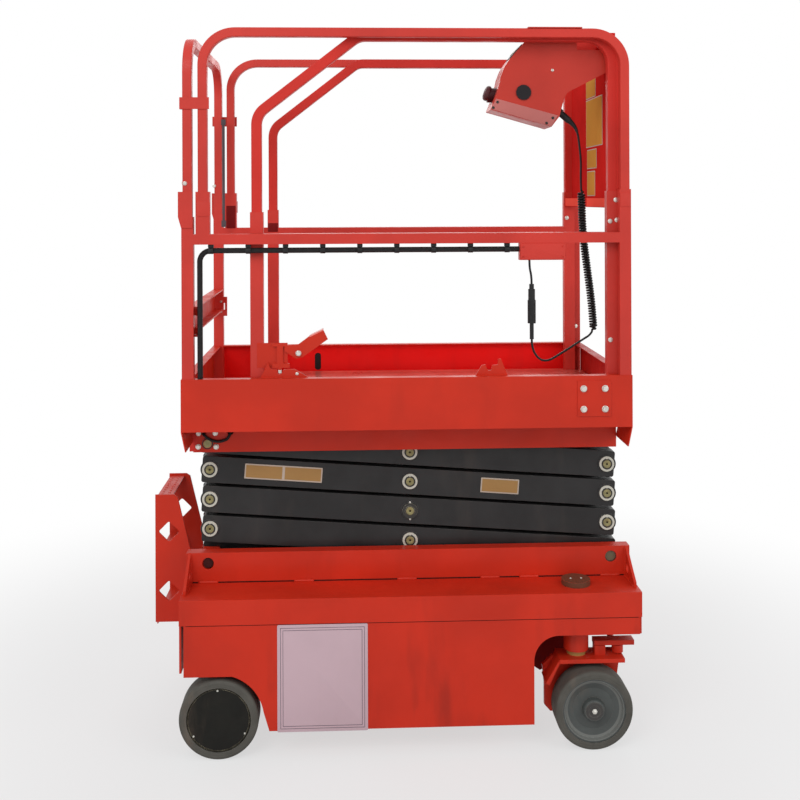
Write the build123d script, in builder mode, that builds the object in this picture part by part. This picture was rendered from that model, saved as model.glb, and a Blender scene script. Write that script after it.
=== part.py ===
"""Small self-propelled slab scissor lift with four scissor stages, stowed, guard rails up.

Units are millimetres. X points to the front (the steered wheels), Z up from the floor, and the
origin lies on the floor under the middle of the overall box. Names ending in _right lie at -Y.
"""
from build123d import *

import math
import os

os.makedirs("parts", exist_ok=True)

# ---------------------------------------------------------------- driving dimensions
# chassis and ladder
chassis_length = 1350.0
chassis_width = 760.0
deck_top = 462.0
deck_skirt_depth = 73.0
deck_plate = 6.0
ground_clearance = 80.0
wheel_radius = 115.0
wheel_width = 80.0
rear_wheel_inset = 113.0
front_wheel_inset = 142.0
kingpin_trail = 38.0
skirt_sheet = 5.0
skirt_recess = 2.0
rear_arch_gap = 16.0
rear_arch_height = 240.0
front_arch_height = 338.0
front_arch_corner = 73.0
ladder_reach = 111.0
ladder_width = 264.0
ladder_sheet = 5.0
ladder_top = 702.0
ladder_bottom = 307.0

# scissor stack
stages = 4
stage_pitch = 90.5
rear_pin_inset = 65.0
front_pin_inset = 58.0
base_pin_height = 58.0
arm_height = 80.0
arm_thickness = 40.0
arm_end = 24.0
arm_corner = 7.0
outer_arm_face = 185.0
arm_side_gap = 5.0
pin_radius = 15.0
pin_running_gap = 0.05
ring_radius = 23.5
ring_thickness = 4.0
rail_offset = 50.0
rail_web = 6.0
rail_height = 90.0
rail_depth = 40.0
rail_flange = 5.0
roller_radius = 20.5
roller_gap = 0.5
seat_gap = 0.3

# platform and guard rails
platform_rear_setback = 7.0
platform_front_setback = 25.0
platform_width = 750.0
floor_rise = 64.0
floor_plate = 4.0
toe_board_height = 152.0
toe_board_sheet = 3.0
toe_lip = 28.0
rail_tube = 30.0
post_width = 34.0
corner_post_height = 618.0
mid_rail_height = 568.0
socket_height = 695.0
side_hoop_height = 1169.0
rear_hoop_height = 1148.0
hoop_corner = 110.0
gate_height = 275.0
gate_depth = 75.0

# sliding deck
slide_gap = 6.0
extension_rail_drop = 5.0
deck_slide_gap = 0.3
deck_pad = 6.0
extension_post_width = 38.0
extension_post_setback = 152.5
extension_socket_height = 631.0
extension_front_socket_height = 690.0
extension_knee_height = 917.0
extension_slope_run = 300.0
front_rail_height = 670.0

# wiring
cord_diameter = 6.5
coil_diameter = 25.0
conduit_diameter = 16.0
loop_diameter = 8.5

# ---------------------------------------------------------------- derived places
chassis_middle = ladder_reach / 2
rear_x = chassis_middle - chassis_length / 2
front_x = rear_x + chassis_length
side_y = chassis_width / 2
deck_bottom = deck_top - deck_skirt_depth
skirt_outer = side_y - skirt_recess
skirt_inner = skirt_outer - skirt_sheet
rear_wheel_x = rear_x + rear_wheel_inset
front_wheel_x = front_x - front_wheel_inset
wheel_inner_y = side_y - wheel_width
kingpin_x = front_wheel_x - kingpin_trail
kingpin_y = wheel_inner_y

pin_rear_x = rear_x + rear_pin_inset
pin_front_x = front_x - front_pin_inset
pin_span = pin_front_x - pin_rear_x
pin_middle_x = (pin_rear_x + pin_front_x) / 2
base_pin_z = deck_top + base_pin_height
top_pin_z = base_pin_z + stages * stage_pitch
arm_length = math.hypot(pin_span, stage_pitch)
arm_angle = math.degrees(math.atan2(stage_pitch, pin_span))
outer_arm_in = outer_arm_face - arm_thickness
inner_arm_face = outer_arm_in - arm_side_gap
inner_arm_in = inner_arm_face - arm_thickness
rail_face = outer_arm_face + rail_offset
rail_inner_face = rail_face - rail_web
track_depth = roller_radius + roller_gap

platform_rear_x = rear_x + platform_rear_setback
platform_front_x = front_x - platform_front_setback
platform_y = platform_width / 2
floor_z = top_pin_z + floor_rise
floor_top = floor_z + floor_plate
toe_top = floor_z + toe_board_height
rail_y = platform_y - rail_tube / 2
post_inner_y = rail_y - rail_tube / 2
post_outer_y = platform_y - toe_board_sheet
corner_post_x = platform_rear_x + toe_board_sheet + post_width / 2
front_post_x = platform_front_x - 2 - post_width / 2
hoop_rear_x = corner_post_x + post_width + 10
corner_post_top = floor_top + corner_post_height
mid_rail_top = floor_top + mid_rail_height
mid_rail_bottom = mid_rail_top - rail_tube
socket_top = floor_top + socket_height
hoop_top = floor_top + side_hoop_height
rear_hoop_top = floor_top + rear_hoop_height
gate_bottom = floor_top + gate_height
gate_top = gate_bottom + gate_depth

extension_y = rail_y - rail_tube - slide_gap
extension_half = extension_y + rail_tube / 2
extension_inner_y = extension_y - rail_tube / 2
extension_deck_z = floor_top + deck_pad
extension_deck_top = extension_deck_z + floor_plate
extension_post_x = hoop_rear_x + extension_post_setback
extension_rear_x = extension_post_x - extension_post_width / 2
extension_front_x = platform_front_x
extension_front_post_x = extension_front_x - toe_lip - extension_post_width / 2
extension_top = hoop_top - extension_rail_drop
extension_socket_top = floor_top + extension_socket_height
extension_front_socket_top = floor_top + extension_front_socket_height
extension_knee_z = floor_top + extension_knee_height
front_rail_top = floor_top + front_rail_height

SIDES = (("right", -1), ("left", 1))


def level(stage):
    """Height of the pins between two stages."""
    return base_pin_z + stage * stage_pitch


# ---------------------------------------------------------------- shared shapes
def span(side, inner, outer):
    """Y range of something that lies between two distances from the middle plane."""
    return tuple(sorted((side * inner, side * outer)))


def about(middle, half):
    """A range that is centred on a place."""
    return (middle - half, middle + half)


def block(x, y, z, mode=Mode.ADD):
    """A rectangular block between two corners."""
    with Locations(((x[0] + x[1]) / 2, (y[0] + y[1]) / 2, (z[0] + z[1]) / 2)):
        Box(x[1] - x[0], y[1] - y[0], z[1] - z[0], mode=mode)


def round_along_y(x, z, radius, y, mode=Mode.ADD):
    """A round bar or bore that runs across the machine."""
    with BuildSketch(Plane.XZ.offset(-y[1])) as disc:
        with Locations((x, z)):
            Circle(radius)
    extrude(disc.sketch, amount=y[1] - y[0], mode=mode)


def round_along_x(y, z, radius, x, mode=Mode.ADD):
    """A round bar or bore that runs fore and aft."""
    with BuildSketch(Plane.YZ.offset(x[0])) as disc:
        with Locations((y, z)):
            Circle(radius)
    extrude(disc.sketch, amount=x[1] - x[0], mode=mode)


def round_along_z(x, y, radius, z, mode=Mode.ADD):
    """An upright round bar or bore."""
    with BuildSketch(Plane.XY.offset(z[0])) as disc:
        with Locations((x, y)):
            Circle(radius)
    extrude(disc.sketch, amount=z[1] - z[0], mode=mode)


def plate_xz(points, y, corner=0.0, mode=Mode.ADD):
    """A plate whose outline is seen from the side, given as (x, z) corners, all rounded alike."""
    with BuildSketch(Plane.XZ.offset(-y[1])) as outline:
        with BuildLine():
            Polyline(*points, close=True)
        make_face()
        if corner:
            fillet(outline.vertices(), corner)
    extrude(outline.sketch, amount=y[1] - y[0], mode=mode)


def square_tube(path_plane, corners, radii, size):
    """A square tube that follows straight runs with round bends in one plane."""
    with BuildLine(path_plane) as path:
        FilletPolyline(*corners, radius=radii)
    start = path.line @ 0
    with BuildSketch(Plane(origin=start, z_dir=path.line % 0, x_dir=path_plane.z_dir)) as section:
        RectangleRounded(size, size, size / 10)
    sweep(section.sketch, path=path.line)


def turned(x, z, profile, side):
    """A turned part on an axle across the machine, from (distance from middle plane, radius) points."""
    with BuildSketch(Plane.YZ.offset(x)) as half_section:
        with BuildLine():
            Polyline(*[(side * distance, z + radius) for distance, radius in profile], close=True)
        make_face()
    revolve(half_section.sketch, axis=Axis((x, 0, z), (0, 1, 0)))


def save(piece, name):
    """Label a finished piece and write its file."""
    piece.part.label = name
    export_step(piece.part, f"parts/{name}.step")


# ---------------------------------------------------------------- chassis
skirt_rear = rear_x + 13
skirt_front = front_x - deck_plate
arch_radius = wheel_radius + rear_arch_gap
front_arch_rear = front_wheel_x - 177.0
tray_rear = rear_wheel_x + 175.0
tray_front = front_arch_rear - 30.0
tray_sheet = 4.0

with BuildPart() as chassis_deck:
    block((rear_x, front_x), (-side_y, side_y), (deck_bottom, deck_top))
    block((rear_x + deck_plate, front_x - deck_plate), about(0, side_y - deck_plate),
          (deck_bottom, deck_top - deck_plate), Mode.SUBTRACT)
    for end_x, plate_bottom in ((rear_x, rear_arch_height + 10), (front_x - deck_plate, front_arch_height)):
        block((end_x, end_x + deck_plate), about(0, skirt_inner), (plate_bottom, deck_bottom))
save(chassis_deck, "chassis_deck")


def rear_arch_point(angle):
    """A point on the arch over a rear wheel, by its angle above the axle."""
    turn = math.radians(angle)
    return (rear_wheel_x + arch_radius * math.cos(turn), wheel_radius + arch_radius * math.sin(turn))


arch_top_angle = math.degrees(math.asin((rear_arch_height - wheel_radius) / arch_radius))
arch_foot_angle = 9.0
arch_foot_run = 15.0
for side_name, side in SIDES:
    with BuildPart() as side_skirt:
        with BuildSketch(Plane.XZ.offset(skirt_outer if side < 0 else -skirt_inner)) as web:
            with BuildLine():
                Polyline((skirt_front, front_arch_height), (skirt_front, deck_bottom),
                         (skirt_rear, deck_bottom), (skirt_rear, rear_arch_height),
                         rear_arch_point(arch_top_angle))
                ThreePointArc(rear_arch_point(arch_top_angle),
                              rear_arch_point((arch_top_angle + arch_foot_angle) / 2),
                              rear_arch_point(arch_foot_angle))
                Polyline(rear_arch_point(arch_foot_angle),
                         (rear_wheel_x + arch_radius + arch_foot_run, ground_clearance),
                         (front_arch_rear, ground_clearance), (front_arch_rear, front_arch_height),
                         (skirt_front, front_arch_height))
            make_face()
            arch_corner = min(web.vertices(), key=lambda corner: math.hypot(
                corner.X - front_arch_rear, corner.Y - front_arch_height))
            fillet(arch_corner, front_arch_corner)
        extrude(web.sketch, amount=-skirt_sheet)
    save(side_skirt, f"side_skirt_{side_name}")

with BuildPart() as belly_tray:
    block((tray_rear, tray_front), about(0, skirt_inner - seat_gap), (ground_clearance, deck_bottom))
    block((tray_rear + tray_sheet, tray_front - tray_sheet), about(0, skirt_inner),
          (ground_clearance + tray_sheet, deck_bottom + 1), Mode.SUBTRACT)
save(belly_tray, "belly_tray")

with BuildPart() as battery_block:
    block((tray_rear + 60, tray_front - 60), about(0, chassis_width / 2 - 100),
          (ground_clearance + tray_sheet, ground_clearance + 250))
save(battery_block, "battery_block")

# channel rails on the deck: the rear pins stand fast in them, the front rollers run in them
gusset_sheet = 8.0
gusset_reach = 105.0
gusset_foot = 14.0
# places on a gusset, out from the rail's face and up from the deck
gusset_waist = (40.0, 59.0)
tie_hole = (26.0, 30.0)
tie_hole_radius = 14.0
web_hole_radius = pin_radius + 2.5
lug_sheet = 8.0
lug_foot = 45.0
lug_head = 24.0
with BuildPart() as base_rails:
    for side_name, side in SIDES:
        block((rear_x, front_x), span(side, rail_inner_face, rail_face), (deck_top, deck_top + rail_height))
        for low in (deck_top, base_pin_z - track_depth - rail_flange, deck_top + rail_height - rail_flange):
            block((rear_x, front_x), span(side, rail_face - rail_depth, rail_inner_face),
                  (low, low + rail_flange))
        for hole_x in (pin_rear_x, pin_front_x):
            round_along_y(hole_x, base_pin_z, web_hole_radius,
                          span(side, rail_inner_face - 1, rail_face + 1), Mode.SUBTRACT)
        lug_y = span(side, inner_arm_face + arm_side_gap, inner_arm_face + arm_side_gap + lug_sheet)
        plate_xz(((pin_rear_x - lug_foot, deck_top), (pin_rear_x + lug_foot, deck_top),
                  (pin_rear_x + lug_head, base_pin_z + lug_head),
                  (pin_rear_x - lug_head, base_pin_z + lug_head)), lug_y)
        round_along_y(pin_rear_x, base_pin_z, pin_radius + pin_running_gap, lug_y, Mode.SUBTRACT)
        for gusset_x in (rear_x + deck_plate, front_x - deck_plate - gusset_sheet):
            with BuildSketch(Plane.YZ.offset(gusset_x)) as gusset:
                root_y, tip_y = side * rail_face, side * (rail_face + gusset_reach)
                waist = (side * (rail_face + gusset_waist[0]), deck_top + gusset_waist[1])
                with BuildLine():
                    Polyline((root_y, deck_top + rail_height), (root_y, deck_top), (tip_y, deck_top),
                             (tip_y, deck_top + gusset_foot))
                    ThreePointArc((tip_y, deck_top + gusset_foot), waist, (root_y, deck_top + rail_height))
                make_face()
                with Locations((side * (rail_face + tie_hole[0]), deck_top + tie_hole[1])):
                    Circle(tie_hole_radius, mode=Mode.SUBTRACT)
            extrude(gusset.sketch, amount=gusset_sheet)
save(base_rails, "base_rails")

with BuildPart() as base_pins:
    for side_name, side in SIDES:
        round_along_y(pin_rear_x, base_pin_z, pin_radius, span(side, inner_arm_in + 0.5, rail_inner_face))
save(base_pins, "base_pins")

# ladder on the rear end: two cheeks with diamond windows, three treads
cheek_rear_x = rear_x - ladder_reach
diamond_x = rear_x - 69
diamond_side = 46.0
tread_sheet = 3.0
tread_lip = 25.0
with BuildPart() as ladder:
    for side_name, side in SIDES:
        cheek = span(side, ladder_width / 2 - ladder_sheet, ladder_width / 2)
        plate_xz(((cheek_rear_x, ladder_bottom), (rear_x, ladder_bottom), (rear_x, ladder_top - 184),
                  (rear_x - 42, ladder_top - 8), (rear_x - 54, ladder_top), (cheek_rear_x, ladder_top)),
                 cheek)
        for diamond_z in (ladder_bottom + 96, ladder_bottom + 280):
            with BuildSketch(Plane.XZ.offset(-cheek[1] - 1)) as diamond:
                with Locations((diamond_x, diamond_z)):
                    Rectangle(diamond_side, diamond_side, rotation=45)
                fillet(diamond.vertices(), 6)
            extrude(diamond.sketch, amount=ladder_sheet + 2, mode=Mode.SUBTRACT)
    for tread_z in (ladder_bottom + 18, ladder_bottom + 200, ladder_top - 7):
        tread_y = about(0, ladder_width / 2 - ladder_sheet)
        block((cheek_rear_x + 4, rear_x - 60), tread_y, (tread_z - tread_sheet, tread_z))
        block((cheek_rear_x + 4, cheek_rear_x + 4 + tread_sheet), tread_y, (tread_z - tread_lip, tread_z))
save(ladder, "ladder")

axle_beam = 60.0
axle_beam_end = wheel_inner_y - 30.0
axle_hanger_y = (190.0, 200.0)
hub_bore = 20.0
with BuildPart() as rear_axle:
    block(about(rear_wheel_x, axle_beam / 2), about(0, axle_beam_end), about(wheel_radius, axle_beam / 2))
    for side_name, side in SIDES:
        block(about(rear_wheel_x, axle_beam / 2), span(side, *axle_hanger_y),
              (wheel_radius + axle_beam / 2, deck_top - deck_plate))
        round_along_y(rear_wheel_x, wheel_radius, hub_bore, span(side, axle_beam_end, side_y - 20))
save(rear_axle, "rear_axle")

# ---------------------------------------------------------------- wheels
tyre_bore = 93.0
tyre_shoulder = 9.0
rim_lip = 6.0
hub_boss = 28.0
hub_dish = 60.0
for axle_name, wheel_x in (("rear", rear_wheel_x), ("front", front_wheel_x)):
    for side_name, side in SIDES:
        wheel_span = span(side, wheel_inner_y, side_y)
        with BuildPart() as tyre:
            round_along_y(wheel_x, wheel_radius, wheel_radius, wheel_span)
            fillet(tyre.edges().filter_by(GeomType.CIRCLE), tyre_shoulder)
            round_along_y(wheel_x, wheel_radius, tyre_bore, (wheel_span[0] - 1, wheel_span[1] + 1),
                          Mode.SUBTRACT)
        save(tyre, f"{axle_name}_tyre_{side_name}")
        with BuildPart() as hub:
            bore = hub_bore + pin_running_gap
            back, face = wheel_inner_y + 6, side_y - 3
            if axle_name == "rear":
                # the cover plate closes the bolted wheel
                turned(wheel_x, wheel_radius,
                       ((back, bore), (face - 16, bore), (face - 16, 0), (face, 0), (face, tyre_bore - 4),
                        (face - 2, tyre_bore - 2), (face - 2, tyre_bore), (back, tyre_bore)), side)
            else:
                # dished disc with a rolled rim and a long centre boss
                turned(wheel_x, wheel_radius,
                       ((back, bore), (side_y - 3, bore), (side_y, bore + 3), (side_y, hub_boss),
                        (face - 1, hub_boss + 3), (face - 16, hub_boss + 6), (face - 18, hub_dish),
                        (face - 10, tyre_bore - 10), (face, tyre_bore - rim_lip), (face, tyre_bore),
                        (back, tyre_bore)), side)
        save(hub, f"{axle_name}_hub_{side_name}")

# ---------------------------------------------------------------- steering
kingpin_radius = 22.0
housing_radius = 37.0
housing_bottom = 270.0
washer_radius = 28.0
knuckle_top = 255.0
knuckle_plate = 12.0
cap_radius = 43.0
cap_height = 16.0
steer_arm_x = kingpin_x + 125.0
steer_arm_end = kingpin_x + 172.0
steer_arm_z = (282.0, 296.0)
tie_rod_z = 268.0
tie_rod_radius = 9.0
tie_rod_eye = 17.0
tie_pin_radius = 8.0
knuckle_rear_x = kingpin_x - 58.0
knuckle_front_x = front_wheel_x + 98.0
wing_foot_x = kingpin_x - 100.0
side_plate_foot = 76.0
side_plate_y = (kingpin_y - 26.0, kingpin_y - 12.0)
riser_x = (kingpin_x + 52.0, kingpin_x + 84.0)
with BuildPart() as kingpin_housings:
    for side_name, side in SIDES:
        round_along_z(kingpin_x, side * kingpin_y, housing_radius, (housing_bottom, deck_top - deck_plate))
        round_along_z(kingpin_x, side * kingpin_y, kingpin_radius + pin_running_gap,
                      (housing_bottom - 1, deck_top), Mode.SUBTRACT)
        round_along_z(kingpin_x, side * kingpin_y, cap_radius, (deck_top, deck_top + cap_height))
save(kingpin_housings, "kingpin_housings")

for side_name, side in SIDES:
    with BuildPart() as knuckle:
        block((knuckle_rear_x, knuckle_front_x), span(side, kingpin_y - 36, kingpin_y + 50),
              (knuckle_top - knuckle_plate, knuckle_top))
        # bent wing behind the wheel
        plate_xz(((knuckle_rear_x, knuckle_top), (knuckle_rear_x, knuckle_top - knuckle_plate),
                  (wing_foot_x + 11, knuckle_top - 75), (wing_foot_x, knuckle_top - 69)),
                 span(side, kingpin_y - 26, kingpin_y + 48))
        # inner side plate that carries the stub axle
        plate_xz(((wing_foot_x, knuckle_top - 40), (wing_foot_x + 6, side_plate_foot + 84),
                  (wing_foot_x + 6, side_plate_foot + 20), (wing_foot_x + 24, side_plate_foot),
                  (knuckle_front_x - 46, side_plate_foot), (knuckle_front_x - 16, side_plate_foot + 54),
                  (knuckle_front_x - 1, knuckle_top - knuckle_plate),
                  (knuckle_rear_x - 12, knuckle_top - knuckle_plate)), span(side, *side_plate_y))
        round_along_z(kingpin_x, side * kingpin_y, washer_radius, (knuckle_top, housing_bottom - 1))
        round_along_z(kingpin_x, side * kingpin_y, kingpin_radius,
                      (housing_bottom - 1, deck_top - deck_plate - 2))
        round_along_y(front_wheel_x, wheel_radius, hub_bore, span(side, side_plate_y[1], side_y - 5))
        # steering arm on its riser
        block(riser_x, span(side, kingpin_y - 10, kingpin_y + 22), (knuckle_top, steer_arm_z[0]))
        block((riser_x[0], steer_arm_end), span(side, kingpin_y - 18, kingpin_y + 18), steer_arm_z)
        round_along_z(steer_arm_x, side * kingpin_y, tie_pin_radius, (tie_rod_z - 12, steer_arm_z[0]))
    save(knuckle, f"knuckle_{side_name}")

with BuildPart() as tie_rod:
    round_along_y(steer_arm_x, tie_rod_z, tie_rod_radius, about(0, kingpin_y - tie_rod_eye + 3))
    for side_name, side in SIDES:
        round_along_z(steer_arm_x, side * kingpin_y, tie_rod_eye, about(tie_rod_z, 11))
        round_along_z(steer_arm_x, side * kingpin_y, tie_pin_radius + pin_running_gap, about(tie_rod_z, 12),
                      Mode.SUBTRACT)
save(tie_rod, "tie_rod")

# ---------------------------------------------------------------- scissor stack
roller_y = (rail_face - rail_depth + 4, rail_inner_face - 2)
roller_pin_end = rail_inner_face - 0.6
pin_end = outer_arm_face + 5.0
ring_y = (outer_arm_face + seat_gap, outer_arm_face + seat_gap + ring_thickness)
cross_tube_radius = 25.0
barrel_share = 0.12
rod_share = 0.88
cylinder_pin_radius = 18.0
cylinder_boss_radius = 28.0
cylinder_boss = 10.0
mount_x = pin_rear_x + barrel_share * pin_span
mount_z = level(0) + barrel_share * stage_pitch
eye_x = pin_rear_x + rod_share * pin_span
eye_z = level(1) + rod_share * stage_pitch


def arm_bar(middle_z, tilt, y):
    """One arm: a straight box section with eased corners, tilted about its middle."""
    with BuildSketch(Plane.XZ.offset(-y[1])) as outline:
        with Locations((pin_middle_x, middle_z)):
            Rectangle(arm_length + 2 * arm_end, arm_height, rotation=tilt)
        fillet(outline.vertices(), arm_corner)
    extrude(outline.sketch, amount=y[1] - y[0])


for stage in range(1, stages + 1):
    middle_z = (level(stage - 1) + level(stage)) / 2
    inner_ends = ((pin_rear_x, level(stage - 1)), (pin_front_x, level(stage)))
    outer_ends = ((pin_rear_x, level(stage)), (pin_front_x, level(stage - 1)))

    with BuildPart() as inner_arms:
        for side_name, side in SIDES:
            arm_bar(middle_z, arm_angle, span(side, inner_arm_in, inner_arm_face))
        for end_x, end_z in inner_ends:
            round_along_y(end_x, end_z, cross_tube_radius, about(0, inner_arm_in))
        if stage == 1:
            round_along_y(mount_x, mount_z, cylinder_pin_radius, about(0, inner_arm_in))
        if stage == 2:
            for side_name, side in SIDES:
                round_along_y(eye_x, eye_z, cylinder_boss_radius,
                              span(side, inner_arm_in - cylinder_boss, inner_arm_in))
        for hole_x, hole_z in inner_ends + ((pin_middle_x, middle_z),):
            for side_name, side in SIDES:
                round_along_y(hole_x, hole_z, pin_radius + pin_running_gap,
                              span(side, inner_arm_in, inner_arm_face), Mode.SUBTRACT)
    save(inner_arms, f"inner_arms_{stage}")

    with BuildPart() as outer_arms:
        for side_name, side in SIDES:
            arm_bar(middle_z, -arm_angle, span(side, outer_arm_in, outer_arm_face))
            for hole_x, hole_z in outer_ends + ((pin_middle_x, middle_z),):
                round_along_y(hole_x, hole_z, pin_radius + pin_running_gap,
                              span(side, outer_arm_in, outer_arm_face), Mode.SUBTRACT)
    save(outer_arms, f"outer_arms_{stage}")

    pin_places = [(pin_middle_x, middle_z)]
    if stage > 1:
        pin_places.append(inner_ends[0])
    if stage < stages:
        pin_places.append(inner_ends[1])
    with BuildPart() as scissor_pins:
        for side_name, side in SIDES:
            for pin_x, pin_z in pin_places:
                round_along_y(pin_x, pin_z, pin_radius, span(side, inner_arm_in + 0.1, pin_end))
                round_along_y(pin_x, pin_z, ring_radius, span(side, *ring_y))
            if stage == stages:
                round_along_y(pin_front_x, top_pin_z, pin_radius,
                              span(side, inner_arm_in + 0.1, roller_pin_end))
                round_along_y(pin_front_x, top_pin_z, roller_radius, span(side, *roller_y))
    save(scissor_pins, f"scissor_pins_{stage}")

with BuildPart() as base_rollers:
    for side_name, side in SIDES:
        round_along_y(pin_front_x, base_pin_z, pin_radius, span(side, outer_arm_in + 1, roller_pin_end))
        round_along_y(pin_front_x, base_pin_z, roller_radius, span(side, *roller_y))
save(base_rollers, "base_rollers")

# ---------------------------------------------------------------- lift cylinder
cylinder_length = math.hypot(eye_x - mount_x, eye_z - mount_z)
cylinder_direction = Vector(eye_x - mount_x, 0, eye_z - mount_z).normalized()
cylinder_plane = Plane(origin=(mount_x, 0, mount_z), x_dir=(0, 1, 0), z_dir=cylinder_direction)
barrel_radius = 38.0
barrel_bore = 31.0
barrel_eye = 34.0
barrel_length = cylinder_length - 146.0
barrel_floor = 60.0
gland_length = 30.0
rod_radius = 22.0
rod_eye = 32.0
rod_inner_end = barrel_floor + 30.0
rod_running_gap = 0.3


def cylinder_stretch(radius, start, end, mode=Mode.ADD):
    """A round length of the lift cylinder between two distances from its lower pin."""
    with BuildSketch(cylinder_plane.offset(start)) as circle:
        Circle(radius)
    extrude(circle.sketch, amount=end - start, mode=mode)


with BuildPart() as cylinder_barrel:
    cylinder_stretch(barrel_radius, barrel_eye - 4, barrel_length)
    cylinder_stretch(barrel_radius + 5, barrel_length - gland_length, barrel_length)
    round_along_y(mount_x, mount_z, barrel_eye, about(0, 30))
    round_along_y(mount_x, mount_z, cylinder_pin_radius + pin_running_gap, about(0, 31), Mode.SUBTRACT)
    cylinder_stretch(barrel_bore, barrel_floor, barrel_length - gland_length, Mode.SUBTRACT)
    cylinder_stretch(rod_radius + rod_running_gap, barrel_floor, barrel_length + 1, Mode.SUBTRACT)
save(cylinder_barrel, "cylinder_barrel")

with BuildPart() as cylinder_rod:
    cylinder_stretch(rod_radius, rod_inner_end, cylinder_length - 20)
    round_along_y(eye_x, eye_z, rod_eye, about(0, 28))
    round_along_y(eye_x, eye_z, cylinder_pin_radius, about(0, inner_arm_in - cylinder_boss - 0.5))
save(cylinder_rod, "cylinder_rod")

# ---------------------------------------------------------------- platform
end_plate_inset = 15.0
end_plate_drop = 57.0
platform_rail_bottom = top_pin_z - track_depth - rail_flange
platform_posts = (corner_post_x, front_post_x)
# cross bearers under the floor, which the arm ends pass below
bearer_count = 4
bearer_depth = 16.0
bearer_reach = 200.0
bearer_pitch = (platform_front_x - platform_rear_x - 2 * bearer_reach) / (bearer_count - 1)
with BuildPart() as platform_floor:
    block((platform_rear_x + toe_board_sheet, platform_front_x), about(0, platform_y - toe_board_sheet),
          (floor_z, floor_top))
    for bearer in range(bearer_count):
        bearer_x = platform_rear_x + bearer_reach + bearer * bearer_pitch
        block(about(bearer_x, 20), about(0, rail_inner_face), (floor_z - bearer_depth, floor_z))
    for pad_share in (0.18, 0.47, 0.75, 0.95):
        pad_x = platform_rear_x + pad_share * (platform_front_x - platform_rear_x)
        for side_name, side in SIDES:
            block(about(pad_x, 25), span(side, extension_inner_y - 59, extension_inner_y - 9),
                  (floor_top, extension_deck_z - deck_slide_gap))
    for side_name, side in SIDES:
        for post_x in platform_posts:
            block(about(post_x, post_width / 2 + seat_gap), span(side, post_inner_y - seat_gap, platform_y),
                  (floor_z - 1, floor_top + 1), Mode.SUBTRACT)
save(platform_floor, "platform_floor")

# the toe boards, with the stops of the deck lock and the bolted post plates
stop_sheet = 4.0
stop_y = (-platform_y + toe_lip - stop_sheet, -platform_y + toe_lip)
first_stop_x = platform_rear_x + 228.0
second_stop_x = platform_rear_x + 857.0
# outlines of the two stops, as (forward, up) from their rear foot
first_stop = ((0, 0), (22, 45), (29, 24), (46, 24), (51, 10), (61, 10), (66, 24), (99, 24), (140, 0))
second_stop = ((0, 0), (19, 30), (30, 32), (36, 14), (47, 14), (49, 30), (66, 31), (67.5, 48),
               (76, 48), (95, 0))
post_plate_x = (front_post_x - 144.0, front_post_x - 45.0)
post_plate_z = (floor_z + 33.0, floor_z + 137.0)
with BuildPart() as toe_boards:
    for side_name, side in SIDES:
        block((platform_rear_x, platform_front_x), span(side, platform_y - toe_board_sheet, platform_y),
              (floor_z, toe_top))
        block((platform_rear_x, platform_front_x), span(side, platform_y - toe_lip, platform_y),
              (toe_top - toe_board_sheet, toe_top))
        block(post_plate_x, span(side, platform_y, platform_y + toe_board_sheet), post_plate_z)
    block((platform_rear_x, platform_rear_x + toe_board_sheet), about(0, platform_y), (floor_z, toe_top))
    block((platform_rear_x, platform_rear_x + toe_lip), (-platform_y, platform_y),
          (toe_top - toe_board_sheet, toe_top))
    for edge_x, inward in ((platform_rear_x, 1), (platform_front_x, -1)):
        for side_name, side in SIDES:
            plate_xz(((edge_x, floor_z), (edge_x + inward * toe_board_sheet, floor_z),
                      (edge_x + inward * end_plate_inset, floor_z - end_plate_drop),
                      (edge_x + inward * (end_plate_inset - toe_board_sheet), floor_z - end_plate_drop)),
                     span(side, rail_inner_face, platform_y))
    for side_name, side in SIDES:
        for post_x in platform_posts:
            block(about(post_x, post_width / 2), span(side, post_inner_y, post_outer_y),
                  (floor_top, toe_top + 1), Mode.SUBTRACT)
    for stop_x, outline in ((first_stop_x, first_stop), (second_stop_x, second_stop)):
        plate_xz([(stop_x + run, toe_top + rise) for run, rise in outline], stop_y)
    # drain slot in the left board
    plate_xz(((platform_rear_x + 360, floor_z + 59), (platform_rear_x + 382, floor_z + 59),
              (platform_rear_x + 382, floor_z + 120), (platform_rear_x + 360, floor_z + 120)),
             (platform_y - toe_board_sheet - 1, platform_y + 1), 10, Mode.SUBTRACT)
save(toe_boards, "toe_boards")

cable_hole_radius = 9.0
cable_holes_x = (pin_rear_x - 13.0, pin_rear_x + 69.0)
cable_hole_z = floor_z - 30.0
with BuildPart() as platform_rails:
    for side_name, side in SIDES:
        rail_x = (platform_rear_x + end_plate_inset, platform_front_x - end_plate_inset)
        block(rail_x, span(side, rail_inner_face, rail_face), (platform_rail_bottom, floor_z))
        for low in (platform_rail_bottom, top_pin_z + track_depth):
            block(rail_x, span(side, rail_face - rail_depth, rail_inner_face), (low, low + rail_flange))
        lug_y = span(side, outer_arm_in - 14, outer_arm_in - 6)
        plate_xz(((pin_rear_x - 24, top_pin_z - 22), (pin_rear_x + 24, top_pin_z - 22),
                  (pin_rear_x + 40, floor_z), (pin_rear_x - 40, floor_z)), lug_y)
        round_along_y(pin_rear_x, top_pin_z, pin_radius, span(side, outer_arm_in - 20, rail_face + 3))
    for hole_x in cable_holes_x:
        round_along_y(hole_x, cable_hole_z, cable_hole_radius, (-rail_face - 1, -rail_inner_face + 1),
                      Mode.SUBTRACT)
save(platform_rails, "platform_rails")

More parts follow.
